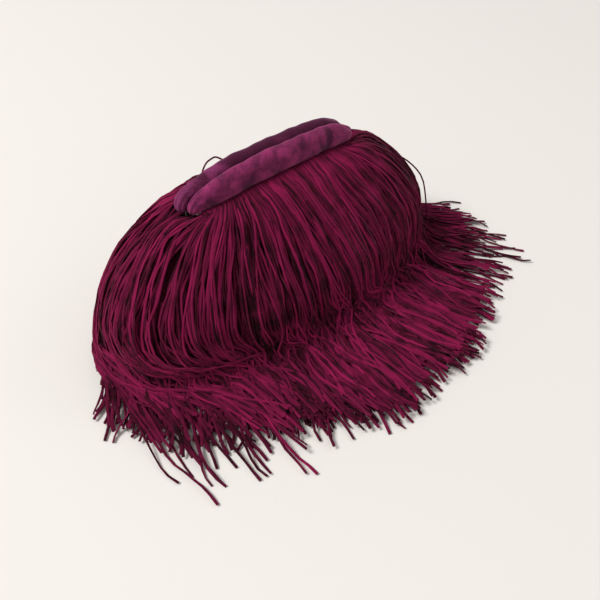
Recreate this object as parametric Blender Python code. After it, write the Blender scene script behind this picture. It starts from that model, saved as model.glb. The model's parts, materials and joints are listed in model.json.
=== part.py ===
"""Fringed suede bag on a hinged frame.

A soft pouch stands on its flat base. Its mouth is held by two steel half frames that turn on
one axis along X. Each half frame runs through a padded suede roll, and long suede fringe is
sewn under the rolls and in rows round the body, so that it falls over the body and lies on
the table. The front is towards -Y, the top towards +Z, and the origin is the middle of the
base. All lengths are in metres.
"""

import math

import bmesh
import bpy
import numpy as np
from mathutils import Matrix

# General clearances and sheet thicknesses
GAP = 0.0003
CHANNEL_GAP = 0.0006
SUEDE = 0.0014
LINING_CLOTH = 0.0008
ROLL_SUEDE = 0.0010
FRINGE_SUEDE = 0.0012

# Hinged frame: flat steel bars bent to a low arch, with a knuckle at each foot
FRAME_HALF_LENGTH = 0.090
HINGE_HEIGHT = 0.1315
FRAME_RISE = 0.0285
FRAME_CORNER = 2.8
BAR_THICKNESS = 0.0020
KNUCKLE_LENGTH = 0.0050
KNUCKLE_RADIUS = 0.0030
PIN_RADIUS = 0.0015
PIN_HEAD_RADIUS = 0.0030
PIN_HEAD = 0.0012
LEG_STRAIGHT = 0.0046

# Padded rolls round the frame bars
ROLL_HALF_WIDTH = 0.0086
ROLL_HALF_HEIGHT = 0.0120
ROLL_END_HALF_WIDTH = 0.0048
ROLL_END_HALF_HEIGHT = 0.0062
ROLL_END_ABOVE_HINGE = 0.0125
ROLL_PARTING = 0.0006

ROLL_RINGS = 15
ROLL_SIDES = 12

# Closing magnets in the rolls
MAGNET_HALF_LENGTH = 0.020
MAGNET_HEIGHT = 0.0060
MAGNET_THICKNESS = 0.0018
MAGNET_DEPTH = 0.0010

# Pouch: how far the body stands out past the frame, and its heights
BASE_OVERHANG = 0.056
BASE_HALF_DEPTH = 0.056
FOOT_OVERHANG = 0.072
FOOT_HALF_DEPTH = 0.070
FOOT_HEIGHT = 0.012
BELLY_OVERHANG = 0.084
BELLY_HALF_DEPTH = 0.081
BELLY_HEIGHT = 0.048
SHOULDER_OVERHANG = 0.066
SHOULDER_HALF_DEPTH = 0.065
SHOULDER_BELOW_HINGE = 0.040
MOUTH_HALF_DEPTH = 0.032
RIM_BELOW_HINGE = 0.005
RIM_ABOVE_HINGE_AT_ENDS = 0.0045
POUCH_RINGS = 8
POUCH_SIDES = 28

# Fringe: how it drapes over the body and spreads on the table
FRINGE_SEAM_ANGLE = math.radians(52)
NECK_OVERHANG = 0.026
NECK_HALF_DEPTH = 0.037
NECK_ABOVE_HINGE = 0.005
SHOULDER_LOOSE = 0.003
BELLY_LOOSE = 0.004
HANG_HEIGHT = 0.030
TURN_REACH = 0.013
TURN_HEIGHT = 0.0105
SWEEP_REACH = 0.040
SWEEP_HEIGHT = 0.0034
TIP_HALF_LENGTH = 0.258
TIP_HALF_DEPTH = 0.205
TIP_FORWARD = 0.024
TIP_HEIGHT = 0.0022

# Shares of the way down the drape (levels, stops, settling) or of the way round it (lean, waves)
DRAPE_LEVELS = [0.03, 0.17, 0.33, 0.50, 0.66, 0.82, 1.0]
TIP_VARIATION_SHARE = 0.05
TIP_SETTLE_SHARE = 0.55
TUCK_SHARE = 0.17
TUCK_FROM_SHARE = 0.27
TUCK_TO_SHARE = 0.535
TUCK_FADE_SHARE = 0.065
TUCK_BELOW_SHARE = 0.66
SETTLE_FROM_SHARE = 0.86
FULL_WIDTH_SHARE = 0.30
ROW_END_SHARE = 0.005
TOP_FILL_SHARE = 0.80
BODY_FILL_SHARE = 0.72
FRINGE_LEAN_SHARE = 0.040
COMB_WAVES = 9
COMB_WAVE_SHARE = 0.0035

# Fringe rows: locks in a row, lift of the row over the ones below it, lock widths
TOP_LOCKS = 28
TOP_LIFT = 0.0116
BAND_DEPTH = 0.007
TOP_LOCK_WIDTH = 0.0098
MIDDLE_LOCKS = 16
MIDDLE_LIFT = 0.0068
MIDDLE_LOCK_WIDTH = 0.0115
MIDDLE_BELOW_HINGE = 0.0375
MIDDLE_STOP_SHARE = 0.95
LOWER_LOCKS = 14
LOWER_LIFT = 0.0018
LOWER_LOCK_WIDTH = 0.0125
LOWER_HEIGHT = 0.056
LOWER_STOP_SHARE = 0.91

# Gathered suede between the pouch's rim and the rolls
PLEATS = 12
PLEAT_DEPTH = 0.0022

WINE = (0.078, 0.009, 0.032, 1.0)
WINE_LIGHT = (0.185, 0.022, 0.082, 1.0)
PLUM = (0.200, 0.028, 0.098, 1.0)
INNER = (0.050, 0.008, 0.020, 1.0)
STEEL = (0.56, 0.57, 0.58, 1.0)
FOAM = (0.72, 0.70, 0.62, 1.0)
NICKEL = (0.62, 0.61, 0.58, 1.0)


def clear_scene():
    """Remove every object of the scene."""
    for item in list(bpy.data.objects):
        bpy.data.objects.remove(item, do_unlink=True)


def make_material(name, colour, roughness, metallic=0.0):
    """A Principled material of one colour."""
    material = bpy.data.materials.new(name)
    material.use_nodes = True
    shader = material.node_tree.nodes["Principled BSDF"]
    shader.inputs["Base Color"].default_value = colour
    shader.inputs["Roughness"].default_value = roughness
    shader.inputs["Metallic"].default_value = metallic
    return material


def make_object(name, points, faces, material, smooth_angle=None):
    """A mesh object from an array of points and a list of faces, with its faces made outward."""
    mesh = bpy.data.meshes.new(name)
    mesh.from_pydata([tuple(point) for point in points], [], faces)
    shape = bmesh.new()
    shape.from_mesh(mesh)
    bmesh.ops.recalc_face_normals(shape, faces=shape.faces)
    shape.to_mesh(mesh)
    shape.free()
    if material is not None:
        mesh.materials.append(material)
    if smooth_angle is not None:
        mesh.shade_smooth()
        mesh.set_sharp_from_angle(angle=math.radians(smooth_angle))
    item = bpy.data.objects.new(name, mesh)
    bpy.context.collection.objects.link(item)
    return item


def make_cutter(name, points, faces):
    """A guide object for a Boolean, kept out of renders."""
    item = make_object(name, points, faces, None)
    item.hide_render = True
    item.display_type = "WIRE"
    return item


def add_boolean(item, other, operation):
    """Join or cut with another object."""
    modifier = item.modifiers.new(operation.title(), "BOOLEAN")
    modifier.operation = operation
    modifier.object = other
    modifier.solver = "EXACT"


def add_thickness(item, thickness, depth):
    """Give a sheet its thickness, with its outer face this depth inside the sheet."""
    modifier = item.modifiers.new("Thickness", "SOLIDIFY")
    modifier.thickness = thickness
    modifier.offset = -1 - 2 * depth / thickness
    modifier.use_even_offset = depth >= 0
    modifier.use_rim = True


def put_origin(item, place):
    """Move an object's origin to a place without moving its mesh."""
    item.data.transform(Matrix.Translation((-place[0], -place[1], -place[2])))
    item.location = place


def loft_faces(rings, sides, closed):
    """Quads between rings of points, whose sides close round or stay open."""
    faces = []
    for ring in range(rings - 1):
        for side in range(sides if closed else sides - 1):
            after = (side + 1) % sides
            low, high = ring * sides, (ring + 1) * sides
            faces.append((low + side, low + after, high + after, high + side))
    return faces


def smooth_through(stations, along):
    """Values on a smooth curve through evenly spaced stations, along it from 0 to 1.

    Each piece is a cubic. Its slope at a station is the harmonic mean of the steps on both
    sides, or level where they turn back, so the curve never swings past a station.
    """
    stations = np.asarray(stations, dtype=float)
    steps = np.diff(stations, axis=0)
    together = steps[:-1] * steps[1:]
    total = steps[:-1] + steps[1:]
    middle = np.where(together > 0, 2 * together / np.where(total == 0, 1, total), 0)
    slopes = np.vstack([steps[:1], middle, steps[-1:]])
    place = np.clip(np.asarray(along, dtype=float), 0, 1) * (len(stations) - 1)
    index = np.minimum(place.astype(int), len(stations) - 2)
    share = (place - index)[..., None]
    start, end = stations[index], stations[index + 1]
    rise = start + (end - start) * share * share * (3 - 2 * share)
    lean_out = slopes[index] * share * (1 - share) ** 2
    lean_in = slopes[index + 1] * share * share * (1 - share)
    return rise + lean_out - lean_in


def ease(value):
    """Smooth step from 0 to 1."""
    value = np.clip(value, 0, 1)
    return value * value * (3 - 2 * value)


def plan_ring(half_length, half_depth, squareness, turn):
    """Points of a superellipse at shares of its way round, from the +X end by way of +Y."""
    angle = np.linspace(0, 2 * math.pi, 1441)
    cosine, sine = np.cos(angle), np.sin(angle)
    x = half_length * np.sign(cosine) * np.abs(cosine) ** (2 / squareness)
    y = half_depth * np.sign(sine) * np.abs(sine) ** (2 / squareness)
    travelled = np.concatenate([[0], np.cumsum(np.hypot(np.diff(x), np.diff(y)))])
    share = travelled / travelled[-1]
    return np.interp(turn, share, x), np.interp(turn, share, y)


# Shared frame geometry

MID_OFFSET = ROLL_HALF_WIDTH + ROLL_PARTING / 2
END_OFFSET = ROLL_END_HALF_WIDTH + ROLL_PARTING / 2
KNUCKLE_OFFSET = (KNUCKLE_LENGTH + GAP) / 2
PIN_REACH = KNUCKLE_OFFSET + KNUCKLE_LENGTH / 2 + GAP
RIM_HALF_LENGTH = FRAME_HALF_LENGTH + PIN_REACH + PIN_HEAD + 2 * GAP + LINING_CLOTH + GAP + SUEDE


def frame_arch(way, side):
    """Centre line of a half frame's arch, and its share of the rise; way runs 0 to 1 from -X to +X."""
    angle = math.pi * (1 - np.asarray(way, dtype=float))
    cosine, sine = np.cos(angle), np.clip(np.sin(angle), 0, None)
    x = FRAME_HALF_LENGTH * np.sign(cosine) * np.abs(cosine) ** (2 / FRAME_CORNER)
    share = sine ** (2 / FRAME_CORNER)
    z = HINGE_HEIGHT + ROLL_END_ABOVE_HINGE + (FRAME_RISE - ROLL_END_ABOVE_HINGE) * share
    y = side * (END_OFFSET + (MID_OFFSET - END_OFFSET) * share)
    return np.stack([x, y, z], axis=-1), share


def even_ways(count):
    """Shares of the arch's parameter that are evenly spaced along its length."""
    way = np.linspace(0, 1, 721)
    arch, _ = frame_arch(way, -1)
    travelled = np.concatenate([[0], np.cumsum(np.linalg.norm(np.diff(arch, axis=0), axis=1))])
    return np.interp(np.linspace(0, travelled[-1], count), travelled, way)


def arch_frame(points):
    """Unit vectors across each point of an arch: outward in its plane, and along Y."""
    tangent = np.gradient(points, axis=0)
    tangent /= np.linalg.norm(tangent, axis=1)[:, None]
    depth = np.zeros_like(points)
    depth[:, 1] = 1
    outward = np.cross(tangent, depth)
    outward /= np.linalg.norm(outward, axis=1)[:, None]
    return outward, depth


def roll_section(share, shrink):
    """Half width and half height of a roll where its arch has this share of the rise."""
    width = ROLL_END_HALF_WIDTH + (ROLL_HALF_WIDTH - ROLL_END_HALF_WIDTH) * share - shrink
    height = ROLL_END_HALF_HEIGHT + (ROLL_HALF_HEIGHT - ROLL_END_HALF_HEIGHT) * share - shrink
    return width, height


def roll_tube(side, count, sides, shrink):
    """Rings of an oval tube round the arch, shrunk evenly."""
    points, share = frame_arch(even_ways(count), side)
    outward, depth = arch_frame(points)
    width, height = roll_section(share, shrink)
    angle = np.linspace(0, 2 * math.pi, sides, endpoint=False)
    across = depth[:, None, :] * (width[:, None] * np.cos(angle))[..., None]
    along = outward[:, None, :] * (height[:, None] * np.sin(angle))[..., None]
    return points[:, None, :] + across + along


def bar_path(side, count):
    """A bar's whole way: from its left knuckle up the leg, over the arch and down to the right one."""
    arch, _ = frame_arch(even_ways(count), side)
    shift = side * KNUCKLE_OFFSET
    inner_leg = FRAME_HALF_LENGTH + shift
    start_depth = side * BAR_THICKNESS * 0.6
    low = HINGE_HEIGHT + KNUCKLE_RADIUS * 0.2
    high = HINGE_HEIGHT + LEG_STRAIGHT
    left = [(-inner_leg, start_depth * 0.2, low), (-inner_leg, start_depth, high)]
    right = [(inner_leg, start_depth, high), (inner_leg, start_depth * 0.2, low)]
    return np.vstack([left, arch, right])


def swept_bar(side, count, grow):
    """Rings of a flat bar's oblong section along its path, grown evenly all round."""
    points = bar_path(side, count)
    outward, depth = arch_frame(points)
    outward[0], outward[-1] = outward[1], outward[-2]
    width = BAR_THICKNESS / 2 + grow
    height = KNUCKLE_LENGTH / 2 + grow
    corners = [(-width, -height), (width, -height), (width, height), (-width, height)]
    rings = [points + depth * across + outward * along for across, along in corners]
    return np.stack(rings, axis=1)


def tube_mesh(rings):
    """Points and faces of a closed tube with filled ends."""
    count, sides, _ = rings.shape
    faces = loft_faces(count, sides, True)
    faces.append(tuple(reversed(range(sides))))
    faces.append(tuple(range((count - 1) * sides, count * sides)))
    return rings.reshape(-1, 3), faces


def turned_mesh(profile, sides, centre):
    """Points and faces of a solid turned about X: profile is (x, radius) from end to end."""
    angle = np.linspace(0, 2 * math.pi, sides, endpoint=False)
    rings = [
        np.stack([np.full(sides, centre[0] + x), centre[1] + radius * np.cos(angle),
                  centre[2] + radius * np.sin(angle)], axis=-1)
        for x, radius in profile
    ]
    return tube_mesh(np.stack(rings))


def make_hinge_pin(name, end, material):
    """A rivet along X through both knuckles, with its broad head against the pouch's end."""
    profile = [
        (-PIN_REACH - PIN_HEAD * 0.8, PIN_RADIUS * 1.5),
        (-PIN_REACH, PIN_RADIUS * 1.7),
        (-PIN_REACH, PIN_RADIUS),
        (PIN_REACH, PIN_RADIUS),
        (PIN_REACH, PIN_HEAD_RADIUS),
        (PIN_REACH + PIN_HEAD, PIN_HEAD_RADIUS * 0.92),
    ]
    centre = (end * FRAME_HALF_LENGTH, 0.0, HINGE_HEIGHT)
    profile = [(end * x, radius) for x, radius in profile]
    return make_object(name, *turned_mesh(profile, 12, centre), material, 40)


def make_frame_bar(name, side, material):
    """A half frame: a flat bar bent over the mouth, with a bored knuckle at each foot."""
    bar = make_object(name, *tube_mesh(swept_bar(side, 19, 0.0)), material)
    half = KNUCKLE_LENGTH / 2
    for end in (-1, 1):
        centre = (end * (FRAME_HALF_LENGTH + side * KNUCKLE_OFFSET), 0.0, HINGE_HEIGHT)
        knuckle = [(-half, KNUCKLE_RADIUS), (half, KNUCKLE_RADIUS)]
        body = make_cutter(f"{name}_knuckle_{end}", *turned_mesh(knuckle, 14, centre))
        add_boolean(bar, body, "UNION")
    for end in (-1, 1):
        centre = (end * (FRAME_HALF_LENGTH + side * KNUCKLE_OFFSET), 0.0, HINGE_HEIGHT)
        bore = [(-half * 1.3, PIN_RADIUS + GAP), (half * 1.3, PIN_RADIUS + GAP)]
        hole = make_cutter(f"{name}_bore_{end}", *turned_mesh(bore, 12, centre))
        add_boolean(bar, hole, "DIFFERENCE")
    put_origin(bar, (0.0, 0.0, HINGE_HEIGHT))
    return bar


def box_mesh(low, high):
    """Points and faces of a box between two corners."""
    xs, ys, zs = zip(low, high)
    points = [(x, y, z) for z in zs for y in ys for x in xs]
    faces = [(0, 2, 3, 1), (4, 5, 7, 6), (0, 1, 5, 4), (2, 6, 7, 3), (0, 4, 6, 2), (1, 3, 7, 5)]
    return np.array(points), faces


def magnet_corners(side, grow):
    """Lowest and highest corner of a roll's magnet, grown evenly."""
    face = ROLL_PARTING / 2 + ROLL_SUEDE + GAP + MAGNET_DEPTH
    near, far = side * (face - grow), side * (face + MAGNET_THICKNESS + grow)
    level = HINGE_HEIGHT + FRAME_RISE
    half_height = MAGNET_HEIGHT / 2 + grow
    half_length = MAGNET_HALF_LENGTH + grow
    low = (-half_length, min(near, far), level - half_height)
    high = (half_length, max(near, far), level + half_height)
    return low, high


def make_magnet(name, side, material):
    """The closing magnet, let into the inner face of a roll's padding."""
    magnet = make_object(name, *box_mesh(*magnet_corners(side, 0.0)), material)
    put_origin(magnet, (0.0, 0.0, HINGE_HEIGHT))
    return magnet


def make_roll_core(name, side, material):
    """The padding of a roll, with a channel for the bar and a pocket for the magnet."""
    rings = roll_tube(side, ROLL_RINGS, ROLL_SIDES, ROLL_SUEDE + GAP)
    core = make_object(name, *tube_mesh(rings), material, 50)
    channel = make_cutter(f"{name}_channel", *tube_mesh(swept_bar(side, 19, CHANNEL_GAP)))
    add_boolean(core, channel, "DIFFERENCE")
    low, high = magnet_corners(side, GAP)
    toward_partner = -side * (MAGNET_DEPTH + ROLL_SUEDE)
    low = (low[0], low[1] + min(toward_partner, 0), low[2])
    high = (high[0], high[1] + max(toward_partner, 0), high[2])
    pocket = make_cutter(f"{name}_pocket", *box_mesh(low, high))
    add_boolean(core, pocket, "DIFFERENCE")
    put_origin(core, (0.0, 0.0, HINGE_HEIGHT))
    return core


def make_roll_cover(name, side, material):
    """The suede sleeve of a roll, open at both ends where the bar comes out."""
    rings = roll_tube(side, ROLL_RINGS, ROLL_SIDES, 0.0)
    faces = loft_faces(rings.shape[0], rings.shape[1], True)
    cover = make_object(name, rings.reshape(-1, 3), faces, material, 50)
    add_thickness(cover, ROLL_SUEDE, 0.0)
    put_origin(cover, (0.0, 0.0, HINGE_HEIGHT))
    return cover


# Pouch

POUCH_STATIONS = [
    (FRAME_HALF_LENGTH + BASE_OVERHANG, BASE_HALF_DEPTH, 2.6, 0.0),
    (FRAME_HALF_LENGTH + FOOT_OVERHANG, FOOT_HALF_DEPTH, 2.5, FOOT_HEIGHT),
    (FRAME_HALF_LENGTH + BELLY_OVERHANG, BELLY_HALF_DEPTH, 2.4, BELLY_HEIGHT),
    (FRAME_HALF_LENGTH + SHOULDER_OVERHANG, SHOULDER_HALF_DEPTH, 2.6, HINGE_HEIGHT - SHOULDER_BELOW_HINGE),
    (RIM_HALF_LENGTH + SUEDE, MOUTH_HALF_DEPTH + SUEDE, 3.0, HINGE_HEIGHT - RIM_BELOW_HINGE - KNUCKLE_RADIUS),
    (RIM_HALF_LENGTH, MOUTH_HALF_DEPTH, 3.0, HINGE_HEIGHT - RIM_BELOW_HINGE),
]


def pouch_outline(along, turn):
    """Points of the pouch's outer surface; along is 0 at the base and 1 at the rim."""
    values = smooth_through(POUCH_STATIONS, along)
    points = np.empty((len(along), len(turn), 3))
    end_rise = (RIM_ABOVE_HINGE_AT_ENDS + RIM_BELOW_HINGE) * ease((np.asarray(along) - 0.8) / 0.2)
    for row, (half_length, half_depth, squareness, height) in enumerate(values):
        x, y = plan_ring(half_length, half_depth, squareness, turn)
        lift = end_rise[row] * np.abs(x / half_length) ** 8
        points[row] = np.stack([x, y, height + lift], axis=-1)
    return points


def pouch_surface(along, turn, inward):
    """The pouch's outer surface moved inward by a distance, square to the surface.

    Its rim keeps its height.
    """
    along, turn = np.asarray(along, dtype=float), np.asarray(turn, dtype=float)
    small = 0.004
    points = pouch_outline(along, turn)
    low, high = np.clip(along - small, 0, 1), np.clip(along + small, 0, 1)
    upward = pouch_outline(high, turn) - pouch_outline(low, turn)
    onward = pouch_outline(along, (turn + small) % 1) - pouch_outline(along, (turn - small) % 1)
    normals = np.cross(onward, upward)
    normals /= np.linalg.norm(normals, axis=2)[:, :, None]
    moved = points - normals * inward
    at_rim = ease((along - 0.8) / 0.2)[:, None]
    moved[:, :, 2] += (points[:, :, 2] - moved[:, :, 2]) * at_rim
    return moved


def make_pouch(name, inward, thickness, material):
    """A pouch with a flat closed base and an open mouth, from rings of its surface."""
    along = np.linspace(0, 1, POUCH_RINGS)
    turn = np.linspace(0, 1, POUCH_SIDES, endpoint=False)
    points = pouch_outline(along, turn)
    faces = loft_faces(POUCH_RINGS, POUCH_SIDES, True)
    faces.append(tuple(reversed(range(POUCH_SIDES))))
    pouch = make_object(name, points.reshape(-1, 3), faces, material, 60)
    add_thickness(pouch, thickness, inward)
    return pouch


def seam_curve(way, side, angle, away):
    """A line along a roll, at an angle below its outer face, and a distance away from it."""
    points, share = frame_arch(way, side)
    outward, depth = arch_frame(points)
    width, height = roll_section(share, 0.0)
    turn_down = angle * ease(share * 1.4)
    across = (width + away) * np.cos(turn_down)
    down = (height + away) * np.sin(turn_down)
    return points + depth * (side * across)[:, None] - outward * down[:, None]


def make_gathers(name, side, material):
    """Gathered suede from the pouch's rim up to the underside of a roll."""
    columns = PLEATS * 3 + 1
    rows = 3
    reach = np.linspace(-1, 1, columns)
    centre_turn = 0.25 if side > 0 else 0.75
    turn = centre_turn - side * reach * 0.19
    rim = pouch_surface(np.array([1.0]), turn, SUEDE / 2)[0]
    rim[:, 2] += GAP * 2 + SUEDE * 0.8
    way = np.interp(reach, [-1, 1], [0.17, 0.83])
    top = seam_curve(way, side, math.radians(84), SUEDE / 2 + GAP)
    share = np.linspace(0, 1, rows)[:, None, None]
    points = rim * (1 - share) + top * share
    fold = np.cos(np.arange(columns) * 2 * math.pi / 3)[None, :, None]
    outward = np.array([0.0, side * 0.86, 0.5])
    points = points + outward * fold * PLEAT_DEPTH * np.sin(share * math.pi) ** 0.7
    gathers = make_object(name, points.reshape(-1, 3), loft_faces(rows, columns, False), material, 80)
    add_thickness(gathers, SUEDE, -SUEDE / 2)
    return gathers


# Fringe

DRAPE_STATIONS = [
    (FRAME_HALF_LENGTH + NECK_OVERHANG, NECK_HALF_DEPTH, 2.8, HINGE_HEIGHT + NECK_ABOVE_HINGE, 0.0),
    (FRAME_HALF_LENGTH + SHOULDER_OVERHANG + SHOULDER_LOOSE, SHOULDER_HALF_DEPTH + SHOULDER_LOOSE, 2.5,
     HINGE_HEIGHT - SHOULDER_BELOW_HINGE + SHOULDER_LOOSE * 1.6, 0.0),
    (FRAME_HALF_LENGTH + BELLY_OVERHANG + BELLY_LOOSE, BELLY_HALF_DEPTH + BELLY_LOOSE, 2.3,
     (HINGE_HEIGHT - SHOULDER_BELOW_HINGE + HANG_HEIGHT) / 2, 0.0),
    (FRAME_HALF_LENGTH + BELLY_OVERHANG + BELLY_LOOSE * 1.4, BELLY_HALF_DEPTH + BELLY_LOOSE * 1.4, 2.2,
     HANG_HEIGHT, 0.0),
    (FRAME_HALF_LENGTH + BELLY_OVERHANG + TURN_REACH, BELLY_HALF_DEPTH + TURN_REACH, 2.1, TURN_HEIGHT, 0.0),
    (FRAME_HALF_LENGTH + BELLY_OVERHANG + SWEEP_REACH, BELLY_HALF_DEPTH + SWEEP_REACH * 1.2, 2.1,
     SWEEP_HEIGHT, -TIP_FORWARD * 0.3),
    (TIP_HALF_LENGTH, TIP_HALF_DEPTH, 2.0, TIP_HEIGHT, -TIP_FORWARD),
]


def tucked(turn, along):
    """Share of its length that a ring keeps where the rear left fringe is tucked in to the foot."""
    place = ease((turn - TUCK_FROM_SHARE) / TUCK_FADE_SHARE) * ease((TUCK_TO_SHARE - turn) / TUCK_FADE_SHARE)
    return 1 - TUCK_SHARE * place * ease((along - TUCK_BELOW_SHARE) / (1 - TUCK_BELOW_SHARE))


def drape_table():
    """Points and normals of the surface that the fringe lies on, on a fine grid."""
    along = np.linspace(0, 1, 49)
    turn = np.linspace(0, 1, 241)
    points = np.empty((len(along), len(turn), 3))
    values = smooth_through(DRAPE_STATIONS, along)
    for row, (half_length, half_depth, squareness, height, shift) in enumerate(values):
        x, y = plan_ring(half_length, half_depth, squareness, turn)
        x = x * tucked(turn, along[row])
        points[row] = np.stack([x, y + shift, np.full_like(x, height)], axis=-1)
    down = np.gradient(points, axis=0)
    round_way = np.gradient(points, axis=1)
    round_way[:, 0] = round_way[:, -1] = points[:, 1] - points[:, -2]
    normals = np.cross(down, round_way)
    normals /= np.linalg.norm(normals, axis=2)[:, :, None]
    normals[normals[:, :, 2] < -0.3] *= -1
    return points, normals


def sample_table(table, along, turn):
    """Value of a table between its grid points."""
    rows, columns = table.shape[0] - 1, table.shape[1] - 1
    place, round_place = np.clip(along, 0, 1) * rows, np.clip(turn, 0, 1) * columns
    row = np.minimum(place.astype(int), rows - 1)
    column = np.minimum(round_place.astype(int), columns - 1)
    a, b = (place - row)[..., None], (round_place - column)[..., None]
    low = table[row, column] * (1 - b) + table[row, column + 1] * b
    high = table[row + 1, column] * (1 - b) + table[row + 1, column + 1] * b
    return low * (1 - a) + high * a


def combed(turn, along):
    """Where a lock that starts at a turn has drifted to, combed towards +X in front."""
    front = np.where(turn > 0.5, 1.0, -0.5)
    half = (turn * 2) % 1.0
    lean = FRINGE_LEAN_SHARE * front * np.sin(math.pi * half) * ease(along)
    ripple = np.sin(2 * math.pi * COMB_WAVES * turn + 5 * along)
    wave = COMB_WAVE_SHARE * ripple * ease(along * 2) * np.sin(math.pi * half)
    return turn + lean + wave


def make_fringe_row(name, table, root, turn_edges, levels, lift, width, material):
    """One row of locks hanging from a band: root is the band's top edge at the lock edges.

    A lock's edges run down the drape surface at the row's lift. The band reaches a short way
    down from the root line, and the locks go on from it.
    """
    points_table, normal_table = table
    locks = len(turn_edges) // 2
    middle = (turn_edges[0::2] + turn_edges[1::2]) / 2
    number = np.arange(locks)
    shorter = 0.5 + 0.5 * np.sin(number * 2.4) * np.sin(number * 1.1 + 0.6)
    along = np.repeat(np.asarray(levels)[:, None], locks, axis=1)
    along[-1] -= TIP_VARIATION_SHARE * shorter
    turn = combed(middle[None, :], along)
    place = sample_table(points_table, along, turn)
    normal = sample_table(normal_table, along, turn)
    normal /= np.linalg.norm(normal, axis=2)[:, :, None]
    settle = 1 - TIP_SETTLE_SHARE * ease((along - SETTLE_FROM_SHARE) / (1 - SETTLE_FROM_SHARE))
    place = place + normal * (lift * settle)[..., None]
    down = np.gradient(place, axis=0)
    across = np.cross(down, normal)
    across /= np.linalg.norm(across, axis=2)[:, :, None]
    sideways = sample_table(points_table, along, turn + 0.002) - sample_table(points_table, along, turn)
    across *= np.sign(np.sum(across * sideways, axis=2))[:, :, None]
    root_span = np.linalg.norm(root[1::2] - root[0::2], axis=1)
    half_width = (root_span + (width - root_span) * ease(along / FULL_WIDTH_SHARE)) / 2
    left = place - across * half_width[..., None]
    right = place + across * half_width[..., None]
    rows = np.stack([left, right], axis=2).reshape(len(levels), -1, 3)
    fall = rows[0] - root
    band = root + fall * (BAND_DEPTH / np.linalg.norm(fall, axis=1))[:, None]
    if np.linalg.norm(fall, axis=1).min() > BAND_DEPTH * 2:
        rows = np.concatenate([band[None], rows])
    points = np.vstack([root[None], rows]).reshape(-1, 3)
    columns = locks * 2
    faces = [(i, i + 1, columns + i + 1, columns + i) for i in range(columns - 1)]
    for lock in range(locks):
        for row in range(1, len(rows)):
            low = row * columns + lock * 2
            faces.append((low, low + 1, low + columns + 1, low + columns))
    fringe = make_object(name, points, faces, material, 50)
    add_thickness(fringe, FRINGE_SUEDE, -FRINGE_SUEDE / 2)
    return fringe


def lock_edges(locks, low, high, fill):
    """Pairs of left and right edges for evenly spaced locks that fill a share of their pitch."""
    pitch = (high - low) / locks
    middle = low + pitch * (np.arange(locks) + 0.5)
    return np.stack([middle - pitch * fill / 2, middle + pitch * fill / 2], axis=1).reshape(-1)


def make_top_row(name, side, table, material):
    """The row that is sewn in the seam under a roll."""
    base = 0.5 if side < 0 else 0.0
    edges = lock_edges(TOP_LOCKS, base + ROW_END_SHARE, base + 0.5 - ROW_END_SHARE, TOP_FILL_SHARE)
    half = (edges - base) * 2
    way_share = half if side < 0 else 1 - half
    even = even_ways(721)
    way = np.interp(way_share, np.linspace(0, 1, 721), even)
    order = np.argsort(way)
    root = np.empty((len(way), 3))
    root[order] = seam_curve(way[order], side, FRINGE_SEAM_ANGLE, GAP + FRINGE_SUEDE / 2)
    return make_fringe_row(name, table, root, edges, DRAPE_LEVELS, TOP_LIFT, TOP_LOCK_WIDTH, material)


def make_body_row(name, side, table, locks, height, levels, lift, width, material):
    """A row that is sewn to the pouch at a height."""
    base = 0.5 if side < 0 else 0.0
    edges = lock_edges(locks, base + ROW_END_SHARE, base + 0.5 - ROW_END_SHARE, BODY_FILL_SHARE)
    along = np.linspace(0, 1, 201)
    heights = smooth_through(POUCH_STATIONS, along)[:, 3]
    rise = np.interp(height, heights, along)
    root = pouch_surface(np.array([rise]), edges, -(GAP + FRINGE_SUEDE * 0.75))[0]
    return make_fringe_row(name, table, root, edges, levels, lift, width, material)


def build():
    """Make every piece of the bag."""
    clear_scene()
    suede = make_material("wine_suede", WINE, 0.95)
    roll_suede = make_material("roll_suede", WINE_LIGHT, 0.9)
    rear_suede = make_material("rear_roll_suede", PLUM, 0.9)
    inner_cloth = make_material("lining_twill", INNER, 0.8)
    steel = make_material("zinc_plated_steel", STEEL, 0.35, 1.0)
    foam = make_material("padding_foam", FOAM, 0.95)
    nickel = make_material("nickel_plated_magnet", NICKEL, 0.25, 1.0)

    make_pouch("outer_shell", 0.0, SUEDE, suede)
    make_pouch("lining", SUEDE + GAP, LINING_CLOTH, inner_cloth)
    make_hinge_pin("hinge_pin_left", -1, steel)
    make_hinge_pin("hinge_pin_right", 1, steel)

    table = drape_table()
    for side, place, cover in ((-1, "front", roll_suede), (1, "rear", rear_suede)):
        make_frame_bar(f"{place}_frame_bar", side, steel)
        make_roll_core(f"{place}_roll_core", side, foam)
        make_magnet(f"{place}_magnet", side, nickel)
        make_roll_cover(f"{place}_roll_cover", side, cover)
        make_gathers(f"{place}_mouth_gathers", side, suede)
        make_top_row(f"{place}_top_fringe", side, table, suede)
        make_body_row(f"{place}_middle_fringe", side, table, MIDDLE_LOCKS, HINGE_HEIGHT - MIDDLE_BELOW_HINGE,
                      DRAPE_LEVELS[1:-1] + [MIDDLE_STOP_SHARE], MIDDLE_LIFT, MIDDLE_LOCK_WIDTH, suede)
        make_body_row(f"{place}_lower_fringe", side, table, LOWER_LOCKS, LOWER_HEIGHT,
                      DRAPE_LEVELS[3:-1] + [LOWER_STOP_SHARE], LOWER_LIFT, LOWER_LOCK_WIDTH, suede)


build()
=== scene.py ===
"""Looks of the fringed suede bag: strips, padded rolls, pouch, metal, stage and camera."""

import json
import math
from typing import NamedTuple

import bpy
import numpy as np
from bpy.props import FloatProperty, IntProperty, PointerProperty, StringProperty
from mathutils import Matrix, Vector


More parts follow.
